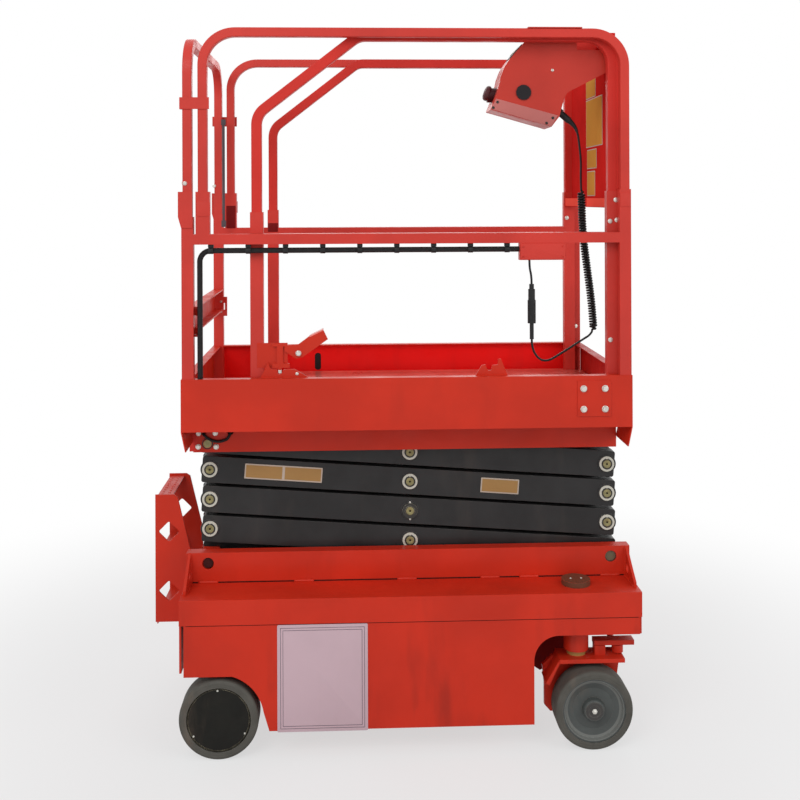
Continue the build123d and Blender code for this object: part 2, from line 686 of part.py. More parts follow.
# guard rails: fixed posts and mid rails below, hoops above
hinge_x = corner_post_x + post_width / 2 + 12
hinge_y = -(post_inner_y - 4)
hinge_pin_radius = 5.0
hinge_knuckle_radius = 9.0
bracket_sheet = 3.0
latch_x = (corner_post_x - 12, corner_post_x + 31)
latch_z = (gate_bottom - 20, gate_bottom + 48)
for side_name, side in SIDES:
    tube_y = span(side, post_inner_y, post_outer_y)
    with BuildPart() as side_rail:
        block(about(corner_post_x, post_width / 2), tube_y, (floor_z, corner_post_top))
        block(about(front_post_x, post_width / 2), tube_y, (floor_z, socket_top))
        block((corner_post_x, front_post_x), tube_y, (mid_rail_bottom, mid_rail_top))
        block(about(hoop_rear_x, 20), tube_y, (mid_rail_top, socket_top - 4))
        # bracket in which the rear hoop folds
        plate_xz(((corner_post_x - 17, corner_post_top - 32), (corner_post_x - 26, corner_post_top),
                  (corner_post_x - 26, corner_post_top + 73), (corner_post_x + 15, corner_post_top + 73),
                  (corner_post_x + 15, corner_post_top - 32)),
                 span(side, post_outer_y, post_outer_y + bracket_sheet))
        if side < 0:
            # hinge of the gate
            for low in (gate_bottom - 6 - seat_gap, gate_top + seat_gap):
                block((corner_post_x + post_width / 2, hinge_x + 8), about(hinge_y, hinge_knuckle_radius),
                      (low, low + 6))
                block((corner_post_x, corner_post_x + post_width / 2 + 1), (hinge_y - 9, hinge_y - 3),
                      (low, low + 6))
            round_along_z(hinge_x, hinge_y, hinge_pin_radius, (gate_bottom - 1, gate_top + 1))
        else:
            # latch plate of the gate
            block(latch_x, (post_inner_y - 4, post_inner_y), latch_z)
            block((latch_x[1] - 21, latch_x[1] - 8), (post_inner_y - 5, post_inner_y + 1),
                  (latch_z[0] + 22, latch_z[1] - 22), Mode.SUBTRACT)
    save(side_rail, f"side_rail_{side_name}")

    with BuildPart() as side_hoop:
        hoop_tube = rail_tube - 3
        square_tube(Plane.XZ.offset(-side * (rail_y - 1.5)),
                    ((hoop_rear_x, socket_top - 4), (hoop_rear_x, hoop_top - rail_tube / 2),
                     (front_post_x, hoop_top - rail_tube / 2), (front_post_x, socket_top)),
                    hoop_corner - rail_tube / 2, hoop_tube)
    save(side_hoop, f"side_hoop_{side_name}")

clip_x = corner_post_x - 21.0
clip_z = (floor_top + 930.0, floor_top + 964.0)
with BuildPart() as rear_hoop:
    square_tube(Plane.YZ.offset(corner_post_x),
                ((-rail_y + 1.5, corner_post_top), (-rail_y + 1.5, rear_hoop_top - rail_tube / 2),
                 (rail_y - 1.5, rear_hoop_top - rail_tube / 2), (rail_y - 1.5, corner_post_top)),
                hoop_corner - rail_tube / 2, rail_tube - 3)
    # clips that tie the rear hoop to the side hoops
    for side_name, side in SIDES:
        clip_face_y = span(side, post_outer_y + seat_gap, post_outer_y + bracket_sheet)
        clip_heel_y = span(side, rail_y - 4, post_outer_y + bracket_sheet)
        block((clip_x, hoop_rear_x + 20), clip_face_y, clip_z)
        block((clip_x, clip_x + bracket_sheet), clip_heel_y, clip_z)
        block((clip_x + bracket_sheet, corner_post_x), span(side, rail_y - 4, rail_y + 4), clip_z)
save(rear_hoop, "rear_hoop")

gate_y = about(0, post_inner_y - 8)
gate_x = about(corner_post_x, post_width / 2)
gate_sheet = 4.0
gate_strap = 20.0
with BuildPart() as gate:
    block((gate_x[0], gate_x[0] + gate_sheet), gate_y, (gate_bottom, gate_top))
    for low in (gate_bottom, gate_top - gate_sheet):
        block(gate_x, gate_y, (low, low + gate_sheet))
    for low in (gate_bottom, gate_top - gate_strap):
        strap_z = (low, low + gate_strap)
        block((gate_x[0], hinge_x), (gate_y[0], gate_y[0] + 8), strap_z)
        round_along_z(hinge_x, hinge_y, hinge_knuckle_radius, strap_z)
        round_along_z(hinge_x, hinge_y, hinge_pin_radius + pin_running_gap, strap_z, Mode.SUBTRACT)
save(gate, "gate")

# ---------------------------------------------------------------- sliding deck
with BuildPart() as extension_deck:
    block((extension_rear_x, extension_front_x), about(0, extension_half),
          (extension_deck_z, extension_deck_top))
    block((extension_front_x - toe_board_sheet, extension_front_x), about(0, extension_half),
          (extension_deck_top, toe_top))
    block((extension_front_x - toe_lip, extension_front_x - toe_board_sheet), about(0, extension_half),
          (toe_top - toe_board_sheet, toe_top))
save(extension_deck, "extension_deck")

for side_name, side in SIDES:
    post_y = span(side, extension_inner_y, extension_half)
    with BuildPart() as extension_rail:
        for post_x, post_top in ((extension_post_x, extension_socket_top),
                                 (extension_front_post_x, extension_front_socket_top)):
            block(about(post_x, extension_post_width / 2), post_y, (extension_deck_top, post_top))
        block((extension_post_x, extension_front_post_x), post_y, (mid_rail_bottom, mid_rail_top))
    save(extension_rail, f"extension_rail_{side_name}")

    with BuildPart() as extension_hoop:
        top_z = extension_top - rail_tube / 2
        square_tube(Plane.XZ.offset(-side * extension_y),
                    ((extension_post_x, extension_socket_top), (extension_post_x, extension_knee_z),
                     (extension_post_x + extension_slope_run, top_z), (extension_front_post_x, top_z),
                     (extension_front_post_x, extension_front_socket_top)),
                    (60, 60, 80), rail_tube)
    save(extension_hoop, f"extension_hoop_{side_name}")

panel_sheet = 3.0
panel_x = extension_front_post_x + 10
with BuildPart() as front_rail:
    for rail_top in (front_rail_top, extension_top):
        block(about(extension_front_post_x, rail_tube / 2), about(0, extension_inner_y),
              (rail_top - rail_tube, rail_top))
    block((panel_x, panel_x + panel_sheet), about(0, extension_inner_y),
          (front_rail_top, extension_top - rail_tube))
save(front_rail, "front_rail")

# spring-loaded lock beside the rear post of the sliding deck: a foot pedal lifts a pin out of its stop
lock_y = (-extension_half - 7.0, -extension_half - 1.0)
lock_x = first_stop_x + 56.0
lock_z = (toe_top + 27.0, toe_top + 97.0)
lock_half = 22.0
lock_pin_half = 4.0
lock_pin_foot = toe_top + 12.0
lock_pivot_x = lock_x + 54.0
lock_pivot_z = toe_top + 70.0
# the pedal's outline, as (forward, up) from its pivot
pedal = ((-40, 23), (-40, 6), (-8, -16), (12, -12), (86, 40), (72, 69), (31, 49), (0, 26))
with BuildPart() as deck_lock:
    block((extension_post_x, lock_x + lock_half), (lock_y[1], -extension_half), (lock_z[0], lock_z[1] + 3))
    block(about(lock_x, lock_half), lock_y, (lock_z[1] - 7, lock_z[1]))
    block((lock_x - lock_half, lock_x + lock_half + 6), lock_y, (lock_z[0], lock_z[0] + 13))
    block(about(lock_x, 9), lock_y, lock_z)
    block(about(lock_x, lock_pin_half), lock_y, (lock_pin_foot, lock_z[0] + 13))
    plate_xz([(lock_pivot_x + forward, lock_pivot_z + up) for forward, up in pedal], lock_y)
    round_along_y(lock_pivot_x, lock_pivot_z, 11, (lock_y[0] - 2, lock_y[1]))
save(deck_lock, "deck_lock")

# ---------------------------------------------------------------- controls and wiring
box_near = extension_inner_y - 9
box_depth = 120.0
box_sheet = 3.0
box_x = front_post_x - 286.5
box_z = hoop_top
hook_z = hoop_top - 1.5 + seat_gap
hook_length = 160.0
# the box's outline, as (forward of the hook's rear edge, up from the top of the side hoop)
box_outline = ((0, -33), (-43, -83), (-59, -107), (-70, -135), (-80, -179), (-101, -234), (82, -286),
               (106, -255), (120, -203), (131, -183), (260, -117), (246, -61), (246, -55),
               (hook_length, -55), (hook_length, -33))
plug_radius = 23.0
stop_button_radius = 22.0
gland_radius = 9.0
gland_start = (box_x + 105, hoop_top - 227)
gland_end = (box_x + 147, hoop_top - 263)
cord_y = -box_near + box_depth / 2
with BuildPart() as control_box:
    plate_xz([(box_x + run, box_z + rise) for run, rise in box_outline], (-box_near, -box_near + box_depth))
    hook_x = (box_x, box_x + hook_length)
    block(hook_x, (-box_near, -box_near + box_sheet), (box_z - 33, hook_z + box_sheet))
    block(hook_x, (-platform_y, -box_near), (hook_z, hook_z + box_sheet))
    # socket plug on the near face and the stop button on the rear face
    round_along_y(box_x - 2, box_z - 183, plug_radius, (-box_near - 3, -box_near))
    round_along_x(cord_y, box_z - 186, stop_button_radius, (box_x - 105, box_x - 70))
    gland_axis = (gland_end[0] - gland_start[0], 0, gland_end[1] - gland_start[1])
    gland_plane = Plane(origin=(gland_start[0], cord_y, gland_start[1]), x_dir=(0, 1, 0), z_dir=gland_axis)
    with BuildSketch(gland_plane) as gland:
        Circle(gland_radius)
    extrude(gland.sketch, amount=math.dist(gland_start, gland_end))
save(control_box, "control_box")

junction_x = (box_x - 26, box_x + 110)
junction_z = (mid_rail_bottom - 50, mid_rail_bottom)
with BuildPart() as junction_box:
    block(junction_x, (-platform_y + 3, -platform_y + 33), junction_z)
save(junction_box, "junction_box")


def round_run(points, diameter, name):
    """A cord: straight runs joined by arcs as large as the two runs beside each corner allow."""
    corners = [Vector(*point) for point in points]
    radii = []
    for before, corner, after in zip(corners, corners[1:], corners[2:]):
        turn = math.radians((corner - before).get_angle(after - corner))
        shorter = min((corner - before).length, (after - corner).length)
        radii.append(0.45 * shorter / math.tan(turn / 2))
    print(name, "radii", [round(radius, 1) for radius in radii])
    with BuildLine() as path:
        FilletPolyline(*corners, radius=radii)
    with BuildSketch(Plane(origin=path.line @ 0, z_dir=path.line % 0)) as section:
        Circle(diameter / 2)
    sweep(section.sketch, path=path.line)
    return sum(edge.length for edge in path.edges())


# the control cord, from the gland down to its coil, on to the plug, and up to the junction box
connector_x = box_x + 10.0
connector_y = -platform_y + 14.0
# (bottom, top, radius) of the two mated plugs, from the lower strain relief to the upper one
connector_steps = ((1205.0, 1252.0, 6.0), (1252.0, 1320.0, 12.0), (1320.0, 1352.0, 10.0),
                   (1352.0, 1367.0, 7.0))
connector_bottom = connector_steps[0][0]
connector_top = connector_steps[-1][1]
upper_points = ((547, cord_y, 1856), (563, cord_y, 1842.286), (574, cord_y, 1818), (579, cord_y, 1780),
                (584, cord_y, 1730), (582.7, cord_y, 1684), (584, cord_y, 1641))
coil_points = ((584, cord_y, 1641), (588, cord_y, 1509), (600, cord_y, 1414), (614, cord_y, 1307),
               (619, cord_y, 1240))
lower_points = ((619, cord_y, 1240), (620.5, cord_y, 1220), (609, -245, 1201), (585, -257, 1190),
                (545, -285, 1172), (500, -315, 1152), (462, -342, 1137), (433, -356, 1143),
                (connector_x, connector_y, 1176), (connector_x, connector_y, connector_bottom))
tail_points = ((connector_x, connector_y, connector_top), (connector_x, connector_y, 1390),
               (404, -360, 1415), (404, -360, junction_z[0]))
for name, points, diameter in (("cord_upper", upper_points, cord_diameter),
                               ("cord_coil", coil_points, coil_diameter),
                               ("cord_lower", lower_points, cord_diameter),
                               ("cord_tail", tail_points, cord_diameter)):
    with BuildPart() as cord:
        length = round_run(points, diameter, name)
        print(name, "length", round(length, 2), "volume share",
              round(cord.part.volume / (math.pi * diameter ** 2 / 4 * length), 4))
    save(cord, name)

with BuildPart() as cord_connector:
    for low, high, radius in connector_steps:
        round_along_z(connector_x, connector_y, radius, (low, high))
save(cord_connector, "cord_connector")

conduit_z = mid_rail_bottom - 18.0
conduit_y = -rail_y
conduit_x = corner_post_x + post_width / 2 + 17.5
tie_count = 9
tie_pitch = 108.0
loop_y = -rail_face - loop_diameter / 2 - seat_gap
loop_inner_y = -rail_inner_face + 5
loop_start_x, loop_end_x = cable_holes_x
# the cable that hangs below the rear corner of the platform, from one hole to the other
loop_points = ((loop_start_x, loop_inner_y, cable_hole_z), (loop_start_x, loop_y, cable_hole_z - 4),
               (loop_start_x + 20, loop_y, cable_hole_z - 22), (loop_start_x + 48, loop_y, cable_hole_z - 29),
               (loop_end_x - 8, loop_y, cable_hole_z - 20), (loop_end_x, loop_y, cable_hole_z - 2),
               (loop_end_x, loop_inner_y, cable_hole_z))
with BuildPart() as conduit:
    with BuildLine() as conduit_path:
        FilletPolyline((junction_x[0], conduit_y, conduit_z), (conduit_x, conduit_y, conduit_z),
                       (conduit_x, conduit_y, toe_top), radius=32)
    with BuildSketch(Plane(origin=conduit_path.line @ 0, z_dir=conduit_path.line % 0)) as conduit_section:
        Circle(conduit_diameter / 2)
    sweep(conduit_section.sketch, path=conduit_path.line)
    for tie in range(tie_count):
        block(about(junction_x[0] - 36 - tie * tie_pitch, 2.5), about(conduit_y, 4),
              (conduit_z, mid_rail_bottom - seat_gap))
    round_run(loop_points, loop_diameter, "corner cable")
save(conduit, "conduit")

print("pins", pin_rear_x, pin_front_x, base_pin_z, "arm", arm_length, arm_angle)
print("cylinder", (mount_x, mount_z), (eye_x, eye_z), cylinder_length)
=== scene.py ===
"""The looks of a small slab scissor lift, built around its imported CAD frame.

Metres; +X forward, +Z up, and names ending in _right lie at -Y. Every piece rides on a CAD body.
"""

from math import atan2, cos, pi, radians, sin, tan

import bmesh
import bpy
from mathutils import Matrix, Vector


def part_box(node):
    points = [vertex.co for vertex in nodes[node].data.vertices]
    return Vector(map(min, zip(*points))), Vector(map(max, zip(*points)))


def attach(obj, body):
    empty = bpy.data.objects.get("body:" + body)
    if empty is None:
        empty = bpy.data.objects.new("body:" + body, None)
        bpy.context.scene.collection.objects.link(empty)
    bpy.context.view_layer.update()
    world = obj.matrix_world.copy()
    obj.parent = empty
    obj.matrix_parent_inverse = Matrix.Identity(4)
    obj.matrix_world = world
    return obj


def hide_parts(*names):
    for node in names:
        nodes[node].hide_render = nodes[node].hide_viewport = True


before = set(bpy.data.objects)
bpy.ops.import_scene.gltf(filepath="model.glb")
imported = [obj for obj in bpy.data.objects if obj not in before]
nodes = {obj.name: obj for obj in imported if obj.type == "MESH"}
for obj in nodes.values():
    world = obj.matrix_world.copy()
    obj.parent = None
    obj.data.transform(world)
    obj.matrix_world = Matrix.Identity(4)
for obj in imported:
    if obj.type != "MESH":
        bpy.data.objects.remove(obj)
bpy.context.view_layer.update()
scene = bpy.context.scene
X, Y, Z = Vector((1, 0, 0)), Vector((0, 1, 0)), Vector((0, 0, 1))
SIDES = {"right": -1, "left": 1}
BOTH = (-1, 1)
looks = {}


# --- camera
def make_camera():
    """A level camera at the near side, a little behind the middle; its shift sets the horizon high."""
    data = bpy.data.cameras.new("camera")
    data.lens, data.sensor_width, data.shift_y = 48.315, 36.0, -0.251
    data.clip_start, data.clip_end = 0.05, 80.0
    camera = bpy.data.objects.new("camera", data)
    scene.collection.objects.link(camera)
    yaw, roll = -0.0438, -0.0035
    camera.matrix_world = (
        Matrix.Translation((-0.1137, -3.4971, 1.6175))
        @ Matrix.Rotation(yaw, 4, "Z")
        @ Matrix.Rotation(pi / 2, 4, "X")
        @ Matrix.Rotation(roll, 4, "Z")
    )
    scene.camera = camera
    scene.view_settings.view_transform = "Standard"


# --- material nodes
def srgb(red, green, blue):
    """The linear colour of a 0-255 screen colour."""
    linear = [(v / 255 + 0.055) / 1.055 for v in (red, green, blue)]
    return (*[v**2.4 if v > 0.0905 else v * 1.055 / 12.92 for v in linear], 1.0)


def scaled(colour, share):
    """The colour made darker or lighter."""
    return (*[min(1.0, c * share) for c in colour[:3]], 1.0)


class Graph:
    """A short way to write the node tree of a material or of the world."""

    def __init__(self, owner):
        owner.use_nodes = True
        self.tree = owner.node_tree
        self.tree.nodes.clear()
        self.place = self.node("TexCoord").outputs["Object"]

    def put(self, socket, value):
        if isinstance(value, bpy.types.NodeSocket):
            self.tree.links.new(value, socket)
        else:
            socket.default_value = value

    def node(self, kind, sockets=None, **settings):
        """A shader node with its settings, and its sockets set or linked."""
        made = self.tree.nodes.new("ShaderNode" + kind)
        for key, value in settings.items():
            setattr(made, key, value)
        for key, value in (sockets or {}).items():
            self.put(made.inputs[key], value)
        return made

    def maths(self, operation, a, b=0.0):
        return self.node("Math", {0: a, 1: b}, operation=operation).outputs[0]

    def times(self, a, b):
        return self.maths("MULTIPLY", a, b)

    def vector(self, operation, a, b):
        made = self.node("VectorMath", {0: a, 1: b}, operation=operation)
        return made.outputs["Value" if operation in ("DOT_PRODUCT", "DISTANCE") else "Vector"]

    def ramp(self, value, low, high, to_low=0.0, to_high=1.0):
        """value from low to high, eased, as a value from to_low to to_high."""
        sockets = {0: value, 1: low, 2: high, 3: to_low, 4: to_high}
        return self.node("MapRange", sockets, interpolation_type="SMOOTHSTEP").outputs[0]

    def mix(self, factor, a, b):
        return self.node("Mix", {"Factor": factor, 6: a, 7: b}, data_type="RGBA").outputs[2]

    def noise(self, scale, detail, stretch=(1.0, 1.0, 1.0)):
        sockets = {"Vector": self.vector("MULTIPLY", self.place, stretch), "Scale": scale, "Detail": detail}
        return self.node("TexNoise", sockets).outputs[0]

    def axis(self, letter):
        return self.node("SeparateXYZ", {0: self.place}).outputs[letter]

    def inside(self, value, low, high, soft=0.0004):
        """1 where value lies between low and high."""
        rises = self.ramp(value, low - soft, low + soft)
        return self.times(rises, self.ramp(value, high - soft, high + soft, 1.0, 0.0))

    def backdrop(self):
        """1 for the camera, reflections and glass, and 0 for the light that reaches the object."""
        ray = self.node("LightPath").outputs
        seen = self.maths("MAXIMUM", ray["Is Camera Ray"], ray["Is Glossy Ray"])
        return self.maths("MAXIMUM", seen, ray["Is Transmission Ray"])


def finish(
    name, colour, roughness=0.4, metallic=0.0, coat=0.0, specular=0.5, mottle=0.1, patch=4.0,
    grain=0.15, grain_scale=260.0, edge=None, rim=0.0012, streaking=None, bands=(), height=None,
):
    """Add a finish: a colour in soft patches, with fine grain, lighter edges, streaks and bands of others.

    edge is the colour along edges, partly wear and partly painted highlight, and rim their width; streaking
    is a (colour, amount), in streaks that grow towards the bottom; bands are (axis or function, low, high,
    colour); height is a function that gives more relief.
    """
    material = bpy.data.materials.new(name)
    g = Graph(material)
    cloud = g.ramp(g.noise(patch, 5.0), 0.3, 0.7)
    base = g.mix(cloud, scaled(colour, 1.0 - mottle), scaled(colour, 1.0 + mottle))
    for value, low, high, other in bands:
        value = g.axis(value) if isinstance(value, str) else value(g)
        base = g.mix(g.inside(value, low, high), base, other)
    fine = g.noise(grain_scale, 3.0)
    # streaks of another colour, stronger towards the bottom
    if streaking:
        streaks = g.ramp(g.noise(9.0, 8.0, (1.6, 1.6, 0.35)), 0.52, 0.78)
        low_down = g.ramp(g.axis("Z"), 0.0, 0.5, 1.0, 0.25)
        base = g.mix(g.times(g.times(streaks, low_down), streaking[1]), base, streaking[0])
    bevel = g.node("Bevel", {"Radius": rim}, samples=4).outputs[0]
    # edges in a lighter colour, broken by noise: partly wear, partly painted highlight
    if edge:
        flat = g.node("NewGeometry").outputs["Normal"]
        turned_away = g.ramp(g.vector("DOT_PRODUCT", bevel, flat), 0.9, 0.995, 1.0, 0.0)
        broken = g.ramp(g.noise(55.0, 4.0), 0.35, 0.6, 0.25, 1.0)
        base = g.mix(g.times(turned_away, broken), base, edge)
    relief = fine if height is None else g.maths("ADD", g.times(fine, 0.25), height(g))
    relief = {"Strength": grain, "Distance": 0.001, "Height": relief, "Normal": bevel}
    surface = {
        "Base Color": base,
        "Roughness": g.ramp(g.noise(patch * 3.0, 6.0), 0.3, 0.7, roughness * 0.8, min(1.0, roughness * 1.25)),
        "Metallic": metallic,
        "Specular IOR Level": specular,
        "Coat Weight": coat,
        "Coat Roughness": 0.12,
        "Normal": g.node("Bump", relief).outputs[0],
    }
    shader = g.node("BsdfPrincipled", surface)
    g.node("OutputMaterial", {"Surface": shader.outputs[0]})
    looks[name] = material


def across(g):
    """Distance from the middle plane."""
    return g.maths("ABSOLUTE", g.axis("Y"))


def round_axle(middle):
    """The distance from an axle that runs across the machine at (x, z)."""

    def distance(g):
        at = g.vector("MULTIPLY", g.place, (1.0, 0.0, 1.0))
        return g.vector("DISTANCE", at, (middle[0], 0.0, middle[1]))

    return distance


def rings(distance, pitch):
    """Fine turned rings, pitch apart, as relief."""

    def height(g):
        turns = g.times(distance(g), 2 * pi / pitch)
        return g.times(g.maths("SINE", turns), 0.5)

    return height


def kingpin_washer(g):
    """The distance from the nearer kingpin's axis at the washer's height, and far away elsewhere."""
    at = g.node("CombineXYZ", {0: g.axis("X"), 1: across(g)}).outputs[0]
    off_level = g.maths("SUBTRACT", 1.0, g.inside(g.axis("Z"), 0.2552, 0.269))
    return g.maths("ADD", g.vector("DISTANCE", at, (KINGPIN_X, KINGPIN_Y, 0.0)), off_level)


def from_stop_button(g):
    """The distance from the stop button's middle."""
    return g.vector("DISTANCE", g.place, STOP_BUTTON)


def from_plug_disc(g):
    """The distance from the control box's round plug."""
    return g.vector("DISTANCE", g.place, PLUG_DISC)


def board_inside(g):
    """The distance from the middle plane below the toe boards' lips, and far away on the lips and above."""
    return g.maths("ADD", across(g), g.ramp(g.axis("Z"), 1.094, 1.0948))


def corrugation(g):
    """The ribs of a flexible conduit, 4.8 mm apart along X and Z."""
    along = g.maths("ADD", g.axis("X"), g.axis("Z"))
    return g.times(g.maths("SINE", g.times(along, 2 * pi / 0.0048)), 0.9)


def chequer(g):
    """Raised dashes, turned alternately, as on a walked-on plate."""
    level_place = g.vector("MULTIPLY", g.place, (1.0, 1.0, 0.0))
    pitch = pi / 0.017
    ways = []
    for turn, before, after in ((pi / 4, 0.0, 1.0), (-pi / 4, 1.0, 0.0)):
        along = g.vector("DOT_PRODUCT", level_place, (cos(turn), sin(turn), 0.0))
        beside = g.vector("DOT_PRODUCT", level_place, (-sin(turn), cos(turn), 0.0))
        wave = g.maths("SINE", g.times(along, pitch))
        ridge = g.maths("ABSOLUTE", g.maths("COSINE", g.times(beside, pitch)))
        dash = g.times(g.maths("ABSOLUTE", wave), g.ramp(ridge, 0.93, 0.99))
        ways.append(g.times(dash, g.ramp(wave, -0.1, 0.1, before, after)))
    normal = g.node("NewGeometry").outputs["Normal"]
    level = g.ramp(g.vector("DOT_PRODUCT", normal, (0.0, 0.0, 1.0)), 0.9, 0.99)
    return g.times(g.times(g.maths("ADD", *ways), level), 1.4)


RED = srgb(204, 47, 25)
# the next is a darker red, for streaks that grow towards the bottom
RED_DARK = srgb(120, 32, 24)
CREAM = srgb(252, 250, 234)
OLIVE = srgb(142, 134, 90)
DUST = srgb(140, 120, 104)
BLACK = srgb(24, 20, 24)

# places that the CAD sets out, in metres; a face is a distance from the middle plane
PIN_XS = (-0.5545, 0.059, 0.6725)
STAGE_PITCH = 0.0905
PIN_LEVELS = [0.52 + STAGE_PITCH * k for k in range(5)]
ARM_TILT = atan2(STAGE_PITCH, PIN_XS[2] - PIN_XS[0])
ARM_FACE = 0.185
RAIL_WEB_FACE = 0.2353
SKIRT_FACE = 0.378
RAIL_FACE = 0.372
RAIL_INSIDE = 0.345
DECK_POST_FACE = 0.339
DECK_POST_INSIDE = 0.309
CONTROL_FACE = -0.3
KINGPIN_X, KINGPIN_Y = 0.5505, 0.3
STOP_BUTTON = (0.3125, -0.24, 1.933)
PLUG_DISC = (0.398, -0.303, 1.936)


def centre_of(node):
    low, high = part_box(node)
    return (low + high) / 2


def wheel_centre(node):
    middle = centre_of(node)
    return (middle.x, middle.z)


# --- shapes
class Shape:
    """Solid forms gathered into one mesh: one piece of the object, in one material."""

    def __init__(self):
        self.mesh = bmesh.new()

    def take(self, part, place=None):
        """Add a part, moved to its place."""
        if place is not None:
            part.transform(place)
        kept = bpy.data.meshes.new("part")
        part.to_mesh(kept)
        part.free()
        self.mesh.from_mesh(kept)
        bpy.data.meshes.remove(kept)

    @staticmethod
    def soften(part, edge):
        """Round a part's sharp edges."""
        if edge:
            sharp = [e for e in part.edges if len(e.link_faces) == 2 and e.calc_face_angle() > 0.6]
            round_off = {"segments": 2, "profile": 0.7, "affect": "EDGES", "clamp_overlap": True}
            bmesh.ops.bevel(part, geom=sharp, offset=edge, **round_off)

    def block(self, x, y, z, edge, turn=None):
        """A block between two corners, its edges eased; turn is a matrix about its middle."""
        part = bmesh.new()
        bmesh.ops.create_cube(part, size=1.0)
        low, high = (Vector(corner) for corner in zip(x, y, z))
        part.transform(Matrix.Diagonal((*(high - low), 1.0)))
        self.soften(part, edge)
        self.take(part, Matrix.Translation((low + high) / 2) @ (turn or Matrix.Identity(4)))

    def side_blocks(self, x, y, z, edge):
        """A block on each side; y is two distances from the middle plane."""
        for side in BOTH:
            self.block(x, sorted((side * y[0], side * y[1])), z, edge)

    def turned(self, origin, axis, profile, sides, start=0.0, hollow=False):
        """A turned form of (distance along axis, radius) points; hollow joins the last point to the first."""
        part = bmesh.new()
        loops = []
        for along, radius in profile:
            if radius < 1e-6:
                loops.append([part.verts.new((0, 0, along))])
                continue
            turn = [start + 2 * pi * k / sides for k in range(sides)]
            loops.append([part.verts.new((radius * cos(a), radius * sin(a), along)) for a in turn])
        pairs = list(zip(loops, loops[1:]))
        if hollow:
            pairs.append((loops[-1], loops[0]))
        for low, high in pairs:
            for k in range(sides):
                corners = ((low, k), (low, k + 1), (high, k + 1), (high, k))
                ring = [loop[n % len(loop)] for loop, n in corners]
                part.faces.new(list(dict.fromkeys(ring)))
        for loop in (loops[0], loops[-1]):
            if len(loop) > 1 and not hollow:
                part.faces.new(loop)
        bmesh.ops.recalc_face_normals(part, faces=part.faces)
        turn = Vector(axis).to_track_quat("Z", "Y").to_matrix().to_4x4()
        self.take(part, Matrix.Translation(origin) @ turn)

    def rod(self, start, end, radius, edge):
        """A round rod between two points, its ends eased."""
        length = (end - start).length
        profile = ((0, radius - edge), (edge, radius), (length - edge, radius), (length, radius - edge))
        self.turned(start, end - start, profile, 24)

    def plate(self, outline, origin, right, up, thickness, edge):
        """A flat plate of outline points (along right, along up), its back at origin, facing right x up."""
        part = bmesh.new()
        face = part.faces.new([part.verts.new((a, b, 0)) for a, b in outline])
        raised = bmesh.ops.extrude_face_region(part, geom=[face])["geom"]
        front = [v for v in raised if isinstance(v, bmesh.types.BMVert)]
        bmesh.ops.translate(part, verts=front, vec=(0, 0, thickness))
        bmesh.ops.recalc_face_normals(part, faces=part.faces)
        self.soften(part, edge)
        right, up = Vector(right).normalized(), Vector(up).normalized()
        turn = Matrix((right, up, right.cross(up))).transposed().to_4x4()
        self.take(part, Matrix.Translation(origin) @ turn)

    def tube(self, line, radius, sides):
        """A round tube along a line of points; radius is a number or one for each point."""
        line = [Vector(p) for p in line]
        radii = radius if hasattr(radius, "__len__") else [radius] * len(line)
        part = bmesh.new()
        ways = [(b - a).normalized() for a, b in zip(line, line[1:])]
        ways = [ways[0]] + [(a + b).normalized() for a, b in zip(ways, ways[1:])] + [ways[-1]]
        side = ways[0].orthogonal().normalized()
        loops = []
        for point, way, r in zip(line, ways, radii):
            side = (side - way * side.dot(way)).normalized()
            other = way.cross(side)
            turn = [2 * pi * k / sides for k in range(sides)]
            ring = [point + r * (cos(a) * side + sin(a) * other) for a in turn]
            loops.append([part.verts.new(place) for place in ring])
        for low, high in zip(loops, loops[1:]):
            for k in range(sides):
                part.faces.new((low[k], low[(k + 1) % sides], high[(k + 1) % sides], high[k]))
        part.faces.new(loops[0][::-1])
        part.faces.new(loops[-1])
        self.take(part)

    def bolt(self, at, axis, size):
        """A hexagon bolt head on its washer; size is the washer's radius."""
        axis = Vector(axis).normalized()
        at = Vector(at)
        rise = 0.16 * size
        self.turned(at, axis, ((0, size), (rise * 0.7, size), (rise, size * 0.92)), 24)
        head = 0.62 * size
        profile = ((0, 0.9 * size), (head * 0.8, 0.9 * size), (head, 0.76 * size))
        self.turned(at + axis * rise, axis, profile, 6, 0.3)
        self.turned(at + axis * rise, axis, ((head * 0.9, 0.74 * size), (head * 1.05, 0.7 * size)), 24)

    def screw(self, at, axis, size):
        """A button-head screw with a socket; size is the head's radius."""
        profile = ((0, size), (0.22 * size, size), (0.5 * size, 0.86 * size), (0.66 * size, 0.55 * size))
        sunk = ((0.66 * size, 0.42 * size), (0.25 * size, 0.4 * size), (0.25 * size, 0.0))
        self.turned(at, axis, profile + sunk, 24)

    def rivet(self, at, axis, size):
        """A low domed head; size is its radius."""
        profile = ((0, size), (0.2 * size, 0.95 * size), (0.36 * size, 0.6 * size), (0.4 * size, 0.0))
        self.turned(at, axis, profile, 28)

    def bead(self, start, end, radius, seed):
        """A weld bead: a low rippled ridge from start to end."""
        start, end = Vector(start), Vector(end)
        length = (end - start).length
        steps = max(6, int(length / 0.0016))
        line = [start.lerp(end, k / steps) for k in range(steps + 1)]
        radii = []
        for k in range(steps + 1):
            taper = min(1.0, (k + 1) / 3, (steps + 1 - k) / 3)
            ripple = 1 + 0.13 * sin(2.1 * k + seed) + 0.08 * sin(0.37 * k + 2 * seed)
            radii.append(radius * taper * ripple)
        self.tube(line, radii, 8)

    def done(self, name, body, look, slot="red_paint", smooth=35):
        """The piece itself, in one finish and riding on a body; edges over smooth degrees stay sharp."""
        data = bpy.data.meshes.new(name)
        self.mesh.to_mesh(data)
        self.mesh.free()
        data.shade_smooth()
        data.set_sharp_from_angle(angle=radians(smooth))
        piece = bpy.data.objects.new(name, data)
        scene.collection.objects.link(piece)
        data.materials.append(looks[look])
        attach(piece, body)
        return piece


